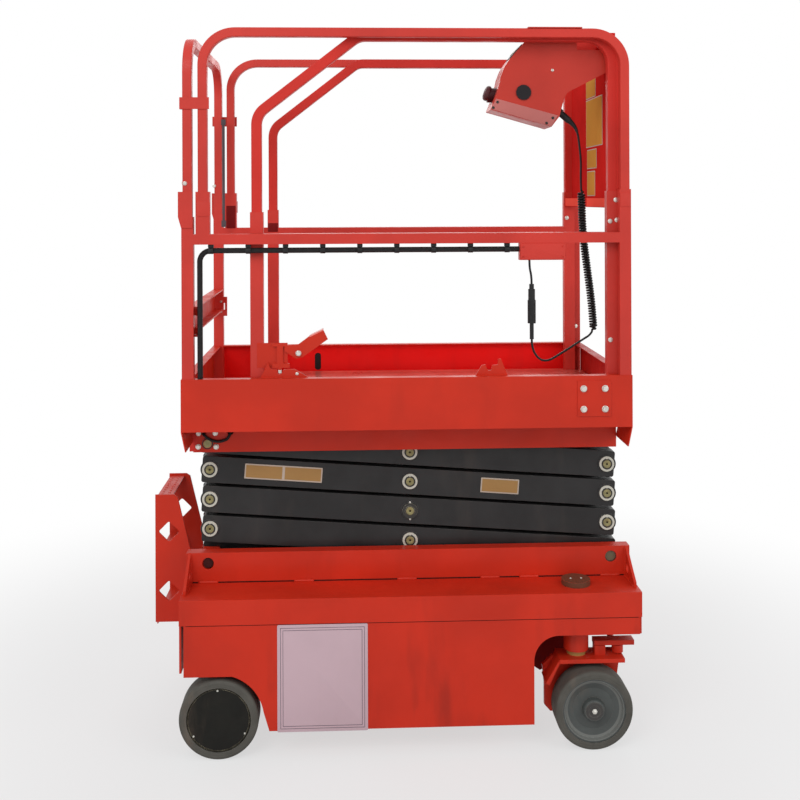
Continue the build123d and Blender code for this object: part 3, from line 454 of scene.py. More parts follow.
# --- cords
def nurbs_line(points, steps):
    """The points along a smooth line that has these as its control points."""
    curve = bpy.data.curves.new("route", "CURVE")
    curve.dimensions = "3D"
    curve.resolution_u = steps
    spline = curve.splines.new("NURBS")
    spline.points.add(len(points) - 1)
    for place, point in zip(spline.points, points):
        place.co = (*point, 1.0)
    spline.order_u = 3
    spline.use_endpoint_u = True
    route = bpy.data.objects.new("route", curve)
    mesh = bpy.data.meshes.new_from_object(route)
    line = [v.co.copy() for v in mesh.vertices]
    bpy.data.objects.remove(route)
    bpy.data.meshes.remove(mesh)
    bpy.data.curves.remove(curve)
    return line


def evenly(line, step):
    """The line again, with its points about step apart."""
    total = sum((b - a).length for a, b in zip(line, line[1:]))
    count = max(2, round(total / step))
    out, gone, k = [line[0]], 0.0, 0
    for n in range(1, count):
        want = total * n / count
        while gone + (line[k + 1] - line[k]).length < want:
            gone += (line[k + 1] - line[k]).length
            k += 1
        out.append(line[k].lerp(line[k + 1], (want - gone) / (line[k + 1] - line[k]).length))
    return out + [line[-1]]


# the control cord's route, as the CAD tubes have it
CORD_Y = -0.24
CORD_DIAMETER = 0.0065
COIL_DIAMETER = 0.025
COIL_PITCH = 0.008
COIL_TOP, COIL_BOTTOM = 1.646, 1.211
TURN_POINTS = 28
UPPER = (
    (0.547, CORD_Y, 1.856),
    (0.563, CORD_Y, 1.8423),
    (0.574, CORD_Y, 1.818),
    (0.579, CORD_Y, 1.78),
    (0.584, CORD_Y, 1.73),
    (0.5827, CORD_Y, 1.684),
)
COIL = (
    (0.584, CORD_Y, 1.641),
    (0.588, CORD_Y, 1.509),
    (0.6, CORD_Y, 1.414),
    (0.614, CORD_Y, 1.307),
    (0.619, CORD_Y, 1.24),
)
LOWER = (
    (0.6205, CORD_Y, 1.22),
    (0.609, -0.245, 1.201),
    (0.585, -0.257, 1.19),
    (0.545, -0.285, 1.172),
    (0.5, -0.315, 1.152),
    (0.462, -0.342, 1.137),
    (0.433, -0.356, 1.143),
    (0.41, -0.361, 1.176),
    (0.41, -0.361, 1.205),
)
TAIL = ((0.41, -0.361, 1.367), (0.41, -0.361, 1.39), (0.404, -0.36, 1.415), (0.404, -0.36, 1.438))


def curly(line):
    """The line wound into the coil's helix, whose turns grow and shrink over the first and last two."""
    line = evenly(line, COIL_PITCH / TURN_POINTS)
    reach = (COIL_DIAMETER - CORD_DIAMETER) / 2
    slowest = 0.12
    first = next(k for k, p in enumerate(line) if p.z < COIL_TOP)
    last = next(k for k, p in enumerate(line) if p.z < COIL_BOTTOM)
    turn = 0.0
    out = []
    for k, point in enumerate(line):
        if not first < k < last:
            if k % (TURN_POINTS // 2) == 0 or k in (first, last, len(line) - 1):
                out.append(point)
            continue
        way = (line[k + 1] - line[k - 1]).normalized()
        side = (Y - way * Y.dot(way)).normalized()
        share = min(1.0, (k - first) / (2 * TURN_POINTS), (last - k) / (2 * TURN_POINTS))
        turn += 2 * pi / TURN_POINTS * max(slowest, share)
        radius = reach * share * share * (3 - 2 * share)
        out.append(point + radius * (cos(turn) * side + sin(turn) * way.cross(side)))
    return out


def make_cords():
    """The curly control cord and the short tail above its connector, each with the points that it follows."""
    route = curly(nurbs_line((*UPPER, *COIL, *LOWER), 48))
    shape = Shape()
    shape.tube(route, CORD_DIAMETER / 2, 8)
    cord = shape.done("control_cord", "platform", "cable", "black_cable", 80)
    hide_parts("cord_upper", "cord_coil", "cord_lower")

    tail_line = nurbs_line(TAIL, 16)
    shape = Shape()
    shape.tube(tail_line, CORD_DIAMETER / 2, 12)
    tail = shape.done("cord_tail_lead", "platform", "cable", "black_cable", 80)
    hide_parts("cord_tail")
    return cord, route, tail, tail_line


# --- stage and light
def make_stage():
    """A pale floor that fades into a white surround, a soft sky and three large soft lamps."""
    material = bpy.data.materials.new("floor")
    g = Graph(material)
    away = g.vector("DISTANCE", g.place, (0.0, 0.0, 0.0))
    bare = g.node("BsdfDiffuse", {"Color": (0.62, 0.62, 0.62, 1.0)})
    white = g.node("Emission", {"Color": (1, 1, 1, 1), "Strength": 1.0})
    share = g.times(g.backdrop(), g.ramp(away, 1.0, 2.6, 0.62, 1.0))
    mixed = g.node("MixShader", {0: share, 1: bare.outputs[0], 2: white.outputs[0]})
    g.node("OutputMaterial", {"Surface": mixed.outputs[0]})
    disc = bmesh.new()
    bmesh.ops.create_circle(disc, cap_ends=True, segments=64, radius=14.0)
    data = bpy.data.meshes.new("floor")
    disc.to_mesh(data)
    disc.free()
    data.materials.append(material)
    floor = bpy.data.objects.new("floor", data)
    floor.location.z = -0.0005
    scene.collection.objects.link(floor)

    scene.world = bpy.data.worlds.new("surround")
    g = Graph(scene.world)
    sky = g.node("Background", {"Color": (0.62, 0.62, 0.63, 1.0)})
    white = g.node("Background", {"Color": (1.0, 1.0, 1.0, 1.0)})
    mixed = g.node("MixShader", {0: g.backdrop(), 1: sky.outputs[0], 2: white.outputs[0]})
    g.node("OutputWorld", {"Surface": mixed.outputs[0]})

    middle = Vector((0.05, 0.0, 1.0))
    lamps = (
        ("key", (-2.2, -4.2, 4.2), 3.0, 95.0),
        ("fill", (3.6, -3.2, 2.6), 3.0, 38.0),
        ("back", (0.5, 4.0, 4.0), 4.0, 60.0),
    )
    for name, place, size, power in lamps:
        lamp = bpy.data.lights.new(name, "AREA")
        lamp.shape, lamp.size, lamp.energy = "DISK", size, power
        holder = bpy.data.objects.new(name, lamp)
        holder.location = place
        holder.rotation_mode = "QUATERNION"
        holder.rotation_quaternion = (middle - holder.location).to_track_quat("-Z", "Y")
        scene.collection.objects.link(holder)


# --- finishes of the CAD nodes
def make_finishes():
    """The machine's materials, kept in looks by name."""
    front_axle = round_axle(wheel_centre("front_tyre_right"))
    rear_axle = round_axle(wheel_centre("rear_tyre_right"))
    keeper_pin = round_axle((PIN_XS[1], PIN_LEVELS[1] + STAGE_PITCH / 2))
    pin_bands = (
        (across, 0.1853, 0.1894, CREAM),
        (keeper_pin, -1.0, 0.03, srgb(40, 38, 36)),
        (across, 0.1895, 0.2, srgb(52, 47, 38)),
        (across, 0.2285, 0.24, OLIVE),
    )
    # a black plug face, and a dark red ring round the stop button: painted shade at its foot
    box_bands = ((from_plug_disc, -1.0, 0.0236, BLACK), (from_stop_button, -1.0, 0.029, srgb(58, 12, 16)))
    # the toe boards' inner faces below the lips in a brighter, deeper red: painted light, the glow the boards
    # throw on each other
    board_lit_bands = ((board_inside, 0.3712, 0.3724, srgb(244, 20, 18)),)
    housing_bands = (("Z", 0.4621, 0.5, srgb(104, 66, 48)),)
    knuckle_bands = ((kingpin_washer, -1.0, 0.0286, srgb(170, 136, 78)),)
    hub_bands = ((front_axle, 0.0765, 0.0885, srgb(112, 114, 110)),)

    # what several finishes share
    red = {"roughness": 0.42, "coat": 0.06, "specular": 0.22, "mottle": 0.09, "edge": scaled(RED, 1.3)}
    # red with darker red streaks that grow towards the bottom
    red_streaked = {"streaking": (RED_DARK, 0.5), **red}
    rails = red | {"streaking": (RED_DARK, 0.4)}
    hoops = red | {"streaking": (RED_DARK, 0.3), "specular": 0.12, "coat": 0.0}
    floor = red | {"streaking": (srgb(104, 34, 26), 0.8), "specular": 0.15, "coat": 0.0, "mottle": 0.16}
    tread = red | {"streaking": (RED, 0.5), "specular": 1.0, "coat": 0.6, "roughness": 0.34}
    cast = red | {"mottle": 0.14}
    bare = {"mottle": 0.08, "grain": 0.04}
    arms = {"coat": 0.06, "specular": 0.28, "mottle": 0.22, "patch": 7.0, "rim": 0.0016, "streaking": (DUST, 0.2)}
    cover = {"specular": 0.2, "mottle": 0.25, "patch": 14.0, "rim": 0.0018, "streaking": (DUST, 0.35)}
    hub = {"specular": 0.35, "mottle": 0.16, "patch": 12.0, "streaking": (DUST, 0.5)}
    hose = {"specular": 0.3, "mottle": 0.2, "patch": 30.0}
    pins = {"metallic": 0.1, "mottle": 0.2, "patch": 30.0, "edge": srgb(190, 182, 160)}
    tyre = {"specular": 0.3, "mottle": 0.13, "patch": 11.0, "grain": 0.35, "grain_scale": 420.0}
    tyre |= {"edge": srgb(122, 119, 113), "rim": 0.002, "streaking": (DUST, 0.45)}
    rubber, ring_pitch = srgb(86, 84, 78), 0.0065

    finish("red", RED, **red_streaked)
    finish("red_floor", srgb(182, 30, 24), grain=0.5, height=chequer, **floor)
    finish("red_hoops", srgb(208, 56, 48), **hoops)
    finish("red_rails", srgb(206, 60, 50), **rails)
    finish("red_panel", srgb(208, 42, 38), 0.6, specular=0.0, mottle=0.12, streaking=(RED_DARK, 0.3))
    # the tread's pale pink is red paint lightened as painted highlight, the sheen its top shows under the
    # lamps
    finish("tread", srgb(242, 108, 92), grain=0.6, height=chequer, **tread)
    finish("toe_boards", RED, bands=board_lit_bands, **red_streaked)
    finish("control_box", srgb(190, 56, 44), bands=box_bands, **red)
    finish("kingpin_housing", RED, bands=housing_bands, **cast | {"streaking": (RED_DARK, 0.6)})
    finish("knuckle", RED, bands=knuckle_bands, **cast | {"streaking": (RED_DARK, 0.7)})
    # a pale pinkish red for the cross rail's painted highlight
    finish("painted_highlight_red", srgb(250, 92, 76), 0.6, specular=0.0, mottle=0.08)
    # a dark red for painted shade in recesses
    finish("painted_shade_red", srgb(112, 18, 18), 0.6, specular=0.1, mottle=0.2, streaking=(srgb(50, 14, 12), 0.7))
    # near-black red: painted shadow in seams and gaps
    finish("seam_shadow", srgb(48, 10, 10), 0.8, specular=0.1, mottle=0.3, patch=20.0)
    finish("box_base", srgb(186, 104, 98), 0.42, specular=0.4, mottle=0.1, edge=srgb(220, 170, 165))
    # the stop button's red darkened: painted shade
    finish("button", srgb(70, 14, 20), 0.4, specular=0.4, mottle=0.15, patch=40.0)
    finish("arms", srgb(38, 37, 37), 0.42, edge=srgb(100, 98, 96), **arms)
    finish("steel", srgb(52, 50, 48), 0.45, mottle=0.2, edge=srgb(120, 112, 100), streaking=(DUST, 0.5))
    finish("pins", srgb(70, 66, 58), 0.35, bands=pin_bands, **pins)
    finish("base_pin", srgb(58, 20, 18), 0.6, specular=0.2, mottle=0.3, patch=50.0)
    finish("olive", OLIVE, 0.42, metallic=0.3, mottle=0.25, patch=60.0, edge=srgb(170, 160, 120))
    finish("zinc", srgb(214, 212, 204), 0.32, metallic=0.55, mottle=0.12, patch=60.0, grain=0.1)
    finish("clip_steel", srgb(34, 32, 30), 0.4, metallic=0.4, edge=srgb(110, 106, 98))
    finish("chrome", srgb(205, 205, 205), 0.12, metallic=1.0, mottle=0.05, grain=0.03)
    finish("cover", srgb(24, 23, 19), 0.5, edge=srgb(150, 142, 120), **cover)
    finish("hub", srgb(78, 82, 80), 0.5, edge=srgb(150, 150, 146), bands=hub_bands, **hub)
    finish("front_tyre", rubber, 0.75, height=rings(front_axle, ring_pitch), **tyre)
    finish("rear_tyre", rubber, 0.75, height=rings(rear_axle, ring_pitch), **tyre)
    finish("cable", srgb(16, 15, 16), 0.4, grain=0.1, **hose | {"specular": 0.25})
    finish("conduit", srgb(20, 19, 20), 0.45, grain=0.7, height=corrugation, **hose)
    finish("plug", srgb(26, 26, 27), 0.55, edge=srgb(78, 78, 78), **hose | {"patch": 40.0})
    finish("strap", srgb(84, 76, 80), 0.75, specular=0.2, mottle=0.15, grain=0.4, grain_scale=700.0)
    finish("label", srgb(172, 134, 82), 0.5, specular=0.2, streaking=(DUST, 0.3), **bare | {"mottle": 0.07})
    finish("bright_label", srgb(214, 156, 72), 0.6, specular=0.0, **bare)
    finish("label_rim", srgb(198, 184, 168), 0.55, specular=0.1, **bare)
    finish("placard", srgb(204, 176, 184), 0.48, specular=0.25, streaking=(DUST, 0.12), **bare | {"mottle": 0.04})
    finish("placard_line", srgb(96, 84, 96), 0.5, specular=0.3, **bare | {"mottle": 0.1})


# the finishes of CAD nodes, by the starts of their names; the first entry that fits counts
NODE_LOOKS = {
    "arms": ("inner_arms", "outer_arms"),
    "pins": ("scissor_pins", "base_rollers"),
    "base_pin": "base_pins",
    "front_tyre": "front_tyre",
    "rear_tyre": "rear_tyre",
    "hub": "front_hub",
    "cover": "rear_hub",
    "steel": ("cylinder_barrel", "battery_block"),
    "chrome": "cylinder_rod",
    "knuckle": ("knuckle", "tie_rod"),
    "kingpin_housing": "kingpin_housings",
    "red_rails": ("junction_box", "side_hoop", "rear_hoop", "extension_rail", "side_rail"),
    "red_hoops": "extension_hoop",
    "red_panel": "front_rail",
    "red_floor": ("extension_deck", "platform_floor"),
    "toe_boards": "toe_boards",
    "control_box": "control_box",
    "plug": "cord_connector",
    "cable": "cord",
    "conduit": "conduit",
}


def paint_nodes():
    """Every CAD node takes its finish from NODE_LOOKS, or red paint."""
    for name, node in nodes.items():
        look = next((look for look, starts in NODE_LOOKS.items() if name.startswith(starts)), "red")
        node.data.materials.clear()
        node.data.materials.append(looks[look])


# --- details
def outward(side):
    """The directions along and out of a face on one side: right, up and away from the machine."""
    return Z.cross(Y * side), Z, Y * side


def mirrored(points, y, inward=False):
    """(place, axis) pairs on both sides, at (x, z) points y from the middle plane, facing out or inward."""
    ways = [(side, -side if inward else side) for side in BOTH]
    return [(Vector((x, side * y, z)), Y * way) for side, way in ways for x, z in points]


def bolts(name, body, look, places, size, kind="bolt"):
    """Equal bolts, screws or rivets at (place, axis) pairs, as one piece."""
    shape = Shape()
    make = {"bolt": shape.bolt, "screw": shape.screw, "rivet": shape.rivet}[kind]
    for place, axis in places:
        make(place, axis, size)
    shape.done(name, body, look, None)


def mirrored_plates(name, body, look, plates, thickness, edge, inward=False):
    """Plates on both sides as one piece, from (width, height, corner) and (x, y, z) pairs."""
    shape = Shape()
    for size, (x, y, z) in plates:
        for place, out in mirrored([(x, z)], y, inward):
            shape.plate(rounded(*size), place, Z.cross(out), Z, thickness, edge)
    shape.done(name, body, look)


def rectangle(low_x, high_x, low_y, high_y):
    """The outline of a rectangle with sharp corners."""
    return [(low_x, low_y), (high_x, low_y), (high_x, high_y), (low_x, high_y)]


def rounded(width, height, corner, steps=6):
    """The outline of a rectangle about the origin with round corners."""
    points = []
    for turn, (way_x, way_y) in enumerate(((1, 1), (-1, 1), (-1, -1), (1, -1))):
        middle_x, middle_y = way_x * (width / 2 - corner), way_y * (height / 2 - corner)
        for k in range(steps + 1):
            angle = pi / 2 * (turn + k / steps)
            points.append((middle_x + corner * cos(angle), middle_y + corner * sin(angle)))
    return points


def circlip(shape, face, side):
    """A circlip flat on a pin's face, its gap upward and a drilled ear at each end."""
    right, up, out = outward(side)
    gap, steps = radians(14), 32
    outer, inner, ear_place, ear = 0.0166, 0.0138, 0.0153, 0.0017
    angles = [pi / 2 + gap + (2 * pi - 2 * gap) * k / steps for k in range(steps + 1)]
    outline = [(outer * cos(a), outer * sin(a)) for a in angles]
    outline += [(inner * cos(a), inner * sin(a)) for a in reversed(angles)]
    shape.plate(outline, face, right, up, 0.0013, 0.0003)
    for lean in (pi / 2 - gap, pi / 2 + gap):
        at = face + ear_place * (cos(lean) * right + sin(lean) * up)
        shape.turned(at, out, ((0, ear), (0.0014, ear), (0.0014, 0.0007), (0.0004, 0.0)), 14)


def make_pins():
    """Circlips, centre-drilled pin ends and bosses round every scissor pin."""
    drilled = ((0, 0.0124), (0.0007, 0.0117), (0.0007, 0.0042), (-0.0008, 0.0012), (-0.0008, 0.0))
    boss = ((0, 0.0238), (0, 0.029), (0.0016, 0.0284), (0.002, 0.0262), (0.002, 0.0238))
    keeper_stage = 2  # a keeper plate holds this stage's middle pin, so the pin has no circlip
    for stage in range(1, 5):
        body = f"inner_stage_{stage}"
        low = PIN_LEVELS[stage - 1]
        pins = [(PIN_XS[1], low + STAGE_PITCH / 2)]
        if stage > 1:
            pins.append((PIN_XS[0], low))
        if stage < 4:
            pins.append((PIN_XS[2], low + STAGE_PITCH))
        clipped = pins[1:] if stage == keeper_stage else pins
        clips, caps, bosses = Shape(), Shape(), Shape()
        for side in BOTH:
            out = Y * side
            for x, z in clipped:
                circlip(clips, Vector((x, side * 0.1893, z)), side)
            for x, z in pins:
                caps.turned((x, side * 0.19, z), out, drilled, 32)
                bosses.turned((x, side * ARM_FACE, z), out, boss, 40, hollow=True)
        clips.done(f"circlips_{stage}", body, "clip_steel", "pin_steel")
        caps.done(f"pin_ends_{stage}", body, "olive", "pin_steel")
        bosses.done(f"pin_bosses_{stage}", body, "arms", "dark_arm_paint")
    keeper = PIN_LEVELS[keeper_stage - 1] + STAGE_PITCH / 2
    places = mirrored([(PIN_XS[1], keeper - 0.026), (PIN_XS[1], keeper + 0.026)], ARM_FACE + 0.002)
    bolts("keeper_screws", f"inner_stage_{keeper_stage}", "zinc", places, 0.0034, "screw")


def make_arm_details():
    """The blank plates on the third outer arm: a double one at the rear and a single one in front."""
    pitch, rim_height, height = 0.119, 0.046, 0.038
    middle_z = PIN_LEVELS[2] + STAGE_PITCH / 2
    along = Vector((cos(ARM_TILT), 0.0, -sin(ARM_TILT)))
    up = Vector((sin(ARM_TILT), 0.0, cos(ARM_TILT)))
    for side_name, side in SIDES.items():
        right = along * -side
        rims, faces = Shape(), Shape()
        for x, count in ((-0.3296, 2), (0.338, 1)):
            z = middle_z - (x - PIN_XS[1]) * tan(ARM_TILT) + 0.002
            at = Vector((x, side * ARM_FACE, z))
            rims.plate(rounded(pitch * count, rim_height, 0.002), at, right, up, 0.0007, 0.0002)
            for k in range(count):
                place = at + right * (k - (count - 1) / 2) * pitch + Y * side * 0.0006
                faces.plate(rounded(pitch - 0.008, height, 0.001), place, right, up, 0.0005, 0.0001)
        rims.done(f"arm_plate_rims_{side_name}", "outer_stage_3", "label_rim", "dark_arm_paint")
        faces.done(f"arm_plates_{side_name}", "outer_stage_3", "label", "dark_arm_paint")


def make_placards():
    """A blank placard on each skirt, framed by two thin lines."""
    width, height, thickness, half_line = 0.262, 0.31, 0.0009, 0.0006
    plates, lines = Shape(), Shape()
    for side in BOTH:
        right, up, out = outward(side)
        face = Vector((-0.2062, side * SKIRT_FACE, 0.2315))
        plates.plate(rounded(width, height, 0.004), face, right, up, thickness, 0.0003)
        for inset in (0.0095, 0.0165):
            wide, high = width / 2 - inset, height / 2 - inset
            strokes = [rectangle(-wide, wide, z - half_line, z + half_line) for z in (high, -high)]
            strokes += [rectangle(x - half_line, x + half_line, -high, high) for x in (-wide, wide)]
            for stroke in strokes:
                lines.plate(stroke, face + out * thickness, right, up, 0.0003, 0.0)
    plates.done("side_placards", "base", "placard")
    lines.done("placard_lines", "base", "placard_line")


def make_seams_and_welds():
    """Painted shadow lines in the seams under the channel rails and along the skirts, and weld runs at the
    rails and deck.
    """
    seam_shadows, welds = Shape(), Shape()
    deck = 0.464
    # thin near-black strips: painted shadow under the rails' feet and along the skirts
    seam_shadows.side_blocks((-0.6, 0.712), (RAIL_WEB_FACE, RAIL_WEB_FACE + 0.0012), (0.4621, 0.465), 0.0)
    seam_shadows.side_blocks((-0.6, 0.72), (0.3778, 0.3784), (0.3868, 0.3888), 0.0)
    for side in BOTH:
        y = side * (RAIL_WEB_FACE + 0.001)
        for k, x in enumerate((-0.5538, -0.2655, 0.0465, 0.3, 0.4193, 0.669)):
            welds.bead((x - 0.03, y, deck), (x + 0.03, y, deck), 0.005, k)
        y = side * (RAIL_WEB_FACE + 0.0005)
        for k, (x, way) in enumerate(((-0.6055, 1), (0.7165, -1))):
            welds.bead((x, y, 0.47), (x, y, 0.548), 0.003, k + side)
            for shift in (0.0005, -0.0085):
                at = x + way * shift
                welds.bead((at, side * 0.245, deck - 0.0015), (at, side * 0.335, deck - 0.0015), 0.0032, k)
    seam_shadows.done("rail_seam_shadows", "base", "seam_shadow")
    welds.done("chassis_welds", "base", "red", smooth=60)


def make_base_details():
    """Grip studs on the ladder's treads, liners behind the front arches in a dark red that paints the wells'
    shade, and plugs on the kingpin caps.
    """
    studs = Shape()
    low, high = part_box("ladder")
    pitch_x, pitch_y = 0.02, 0.024
    for tread_z in (low.z + 0.018, low.z + 0.2, high.z - 0.007):
        for row in range(2):
            for k in range(9):
                at = (low.x + 0.016 + pitch_x * row, (k - 4 + 0.5 * row) * pitch_y, tread_z)
                studs.turned(at, Z, ((0, 0.0042), (0.001, 0.0036), (0.0016, 0.002), (0.0016, 0.0)), 12)
    studs.done("ladder_studs", "base", "red")
    # dark red liners deep in the front arches: painted shade of the wheel wells
    liner = Shape()
    outline = ((0.384, 0.388), (0.384, 0.205), (0.432, 0.16), (0.468, 0.136), (0.5, 0.15), (0.592, 0.235))
    outline += ((0.592, 0.388),)
    for side in BOTH:
        right, up, out = outward(side)
        liner.plate([(-side * x, z) for x, z in outline], out * 0.14, right, up, 0.004, 0.001)
    liner.done("arch_liners", "base", "painted_shade_red")
    cap_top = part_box("kingpin_housings")[1].z
    plug_xs = (KINGPIN_X - 0.016, KINGPIN_X + 0.016)
    places = [((x, side * KINGPIN_Y, cap_top), Z) for side in BOTH for x in plug_xs]
    bolts("kingpin_cap_plugs", "base", "zinc", places, 0.0032, "screw")


def make_wheel_details():
    """Cover screws and rims on the rear wheels; hub cap, nut and stud on the front ones."""
    cover_face, cap_face, hub_face = 0.377, 0.38, 0.359
    screw_circle = 0.085
    rim = ((0, 0.0868), (0.0006, 0.0871), (0.0006, 0.0877), (0, 0.088))
    cap_profile = ((0, 0.0262), (0.001, 0.0256), (0.001, 0.018), (0.0004, 0.0172), (0.0004, 0.0))
    collar = ((0, 0.03), (0, 0.0352), (0.0022, 0.0346), (0.003, 0.0322), (0.003, 0.03))
    for side_name, side in SIDES.items():
        out = Y * side
        body = f"rear_wheel_{side_name}"
        axle = centre_of(f"rear_tyre_{side_name}")
        turns = [radians(92 + 120 * k) for k in range(3)]
        points = [(axle.x + screw_circle * cos(t), axle.z + screw_circle * sin(t)) for t in turns]
        places = [((x, side * cover_face, z), out) for x, z in points]
        bolts(f"cover_screws_{side_name}", body, "zinc", places, 0.003, "screw")
        groove = Shape()
        groove.turned((axle.x, side * cover_face, axle.z), out, rim, 96, hollow=True)
        groove.done(f"cover_rim_{side_name}", body, "cover", "hub_grey")

        body = f"front_wheel_{side_name}"
        axle = centre_of(f"front_tyre_{side_name}")
        face = Vector((axle.x, side * cap_face, axle.z))
        cap = Shape()
        cap.turned(face, out, cap_profile, 48)
        cap.turned((axle.x, side * hub_face, axle.z), out, collar, 48, hollow=True)
        cap.done(f"hub_cap_{side_name}", body, "steel", "hub_grey")
        nut = Shape()
        nut.turned(face + out * 0.0004, out, ((0, 0.0082), (0.0022, 0.0082), (0.003, 0.007)), 6)
        stud = ((0, 0.0052), (0.0018, 0.005), (0.003, 0.0034), (0.0036, 0.0))
        nut.turned(face + out * 0.003, out, stud, 20)
        nut.done(f"axle_nut_{side_name}", body, "zinc", "pin_steel")


def make_platform_fixings():
    """Bolts on the platform's posts, pivots, hoops and latch, and the drilled ends of its fixed pivots."""
    corners = [(x, z) for x in (0.56, 0.6234) for z in (1.0003, 1.0604)]
    bolts("post_plate_bolts", "platform", "zinc", mirrored(corners, SKIRT_FACE), 0.01)
    corners = ((-0.5826, 0.8729), (-0.5287, 0.8722), (-0.5824, 0.9136), (-0.5316, 0.9135))
    bolts("pivot_bolts", "platform", "zinc", mirrored(corners, 0.235), 0.0085)
    ends, clips = Shape(), Shape()
    drilled = ((0, 0.0122), (0.001, 0.0115), (0.001, 0.0042), (0, 0.0))
    ring = ((0, 0.0135), (0, 0.0168), (0.0018, 0.0164), (0.0022, 0.0135))
    for place, out in mirrored([(PIN_XS[0], PIN_LEVELS[4])], 0.238):
        ends.turned(place, out, drilled, 28)
        clips.turned(place - out * 0.0015, out, ring, 28, hollow=True)
    ends.done("platform_pivot_ends", "platform", "olive", "pin_steel")
    clips.done("platform_pivot_rings", "platform", "clip_steel", "pin_steel")
    places = mirrored([(-0.5985, 1.6652)], RAIL_FACE)
    places += mirrored([(-0.606, 1.6667)], RAIL_INSIDE, inward=True)
    bolts("hoop_screws", "platform", "zinc", places, 0.0062)
    places = [((-0.583, 0.341, z), -Y) for z in (1.22, 1.256)]
    bolts("latch_bolts", "platform", "zinc", places, 0.0044)


def make_platform_plates():
    """Fillers in corners, pads on the hoop sockets and dark plates as painted shade in the sockets' open
    insides.
    """
    fillers = Shape()
    fillers.side_blocks((-0.6085, -0.584), (0.2292, 0.2362), (0.859, 0.929), 0.001)
    fillers.side_blocks((0.668, 0.699), (0.34, 0.344), (1.645, 2.05), 0.0006)
    fillers.block((0.556, 0.638), (-0.203, -0.2), (2.062, 2.105), 0.0008)
    fillers.done("corner_fillers", "platform", "red_hoops")
    # dark red plates on the sockets' inner faces: painted shade
    shade = (((0.033, 0.08, 0.002), (-0.5475, RAIL_INSIDE, 1.556)),)
    mirrored_plates("socket_painted_shade", "platform", "painted_shade_red", shade, 0.0006, 0.0002, inward=True)
    shade = (((0.035, 0.031, 0.002), (-0.396, DECK_POST_INSIDE, 1.519)),)
    mirrored_plates("deck_socket_painted_shade", "extension", "painted_shade_red", shade, 0.0006, 0.0002, inward=True)
    pads = (
        ((0.0385, 0.043, 0.003), (-0.546, RAIL_FACE, 1.5915)),
        ((0.031, 0.041, 0.003), (0.6865, RAIL_FACE, 1.614)),
    )
    mirrored_plates("socket_pads", "platform", "red_rails", pads, 0.0016, 0.0004)


def make_platform_fittings():
    """The strap behind the gate, the conduit's ties and the junction box's lid."""
    strap = Shape()
    strap.block((-0.5725, -0.563), (0.3, 0.3022), (1.529, 1.898), 0.0006)
    for low_z, high_z in ((1.88, 1.9), (1.522, 1.545)):
        strap.block((-0.576, -0.5595), (0.299, 0.3032), (low_z, high_z), 0.001)
    strap.done("hoop_strap", "platform", "strap", "black_cable")

    ties = Shape()
    inner, outer, width = 0.0082, 0.0098, 0.014
    ring = ((0, inner), (0, outer), (width, outer), (width, inner))
    for k in range(9):
        x = 0.331 - 0.108 * k
        ties.turned((x, -0.36, 1.47), X, ring, 28, hollow=True)
        ties.block((x, x + width), (-0.3735, -0.3688), (1.4665, 1.4735), 0.0008)
        ties.block((x - 0.001, x + width + 0.001), (-0.366, -0.354), (1.479, 1.4876), 0.001)
    ring = ((0, inner), (0, outer), (0.006, outer), (0.006, inner))
    for z in (1.405, 1.263, 1.15):
        ties.turned((-0.59, -0.36, z), Z, ring, 28, hollow=True)
    ties.done("conduit_ties", "platform", "plug", "black_cable")

    low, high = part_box("junction_box")
    middle = (low + high) / 2
    size = high - low
    lid = Shape()
    lid_outline = rounded(size.x - 0.004, size.z - 0.004, 0.005)
    lid.plate(lid_outline, (middle.x, low.y, middle.z), X, Z, 0.0022, 0.0008)
    lid.done("junction_lid", "platform", "red_rails")
    screw_xs = (low.x + 0.01, high.x - 0.01)
    places = [((x, low.y - 0.0022, z), -Y) for x in screw_xs for z in (low.z + 0.01, high.z - 0.01)]
    bolts("junction_screws", "platform", "red_rails", places, 0.003, "screw")


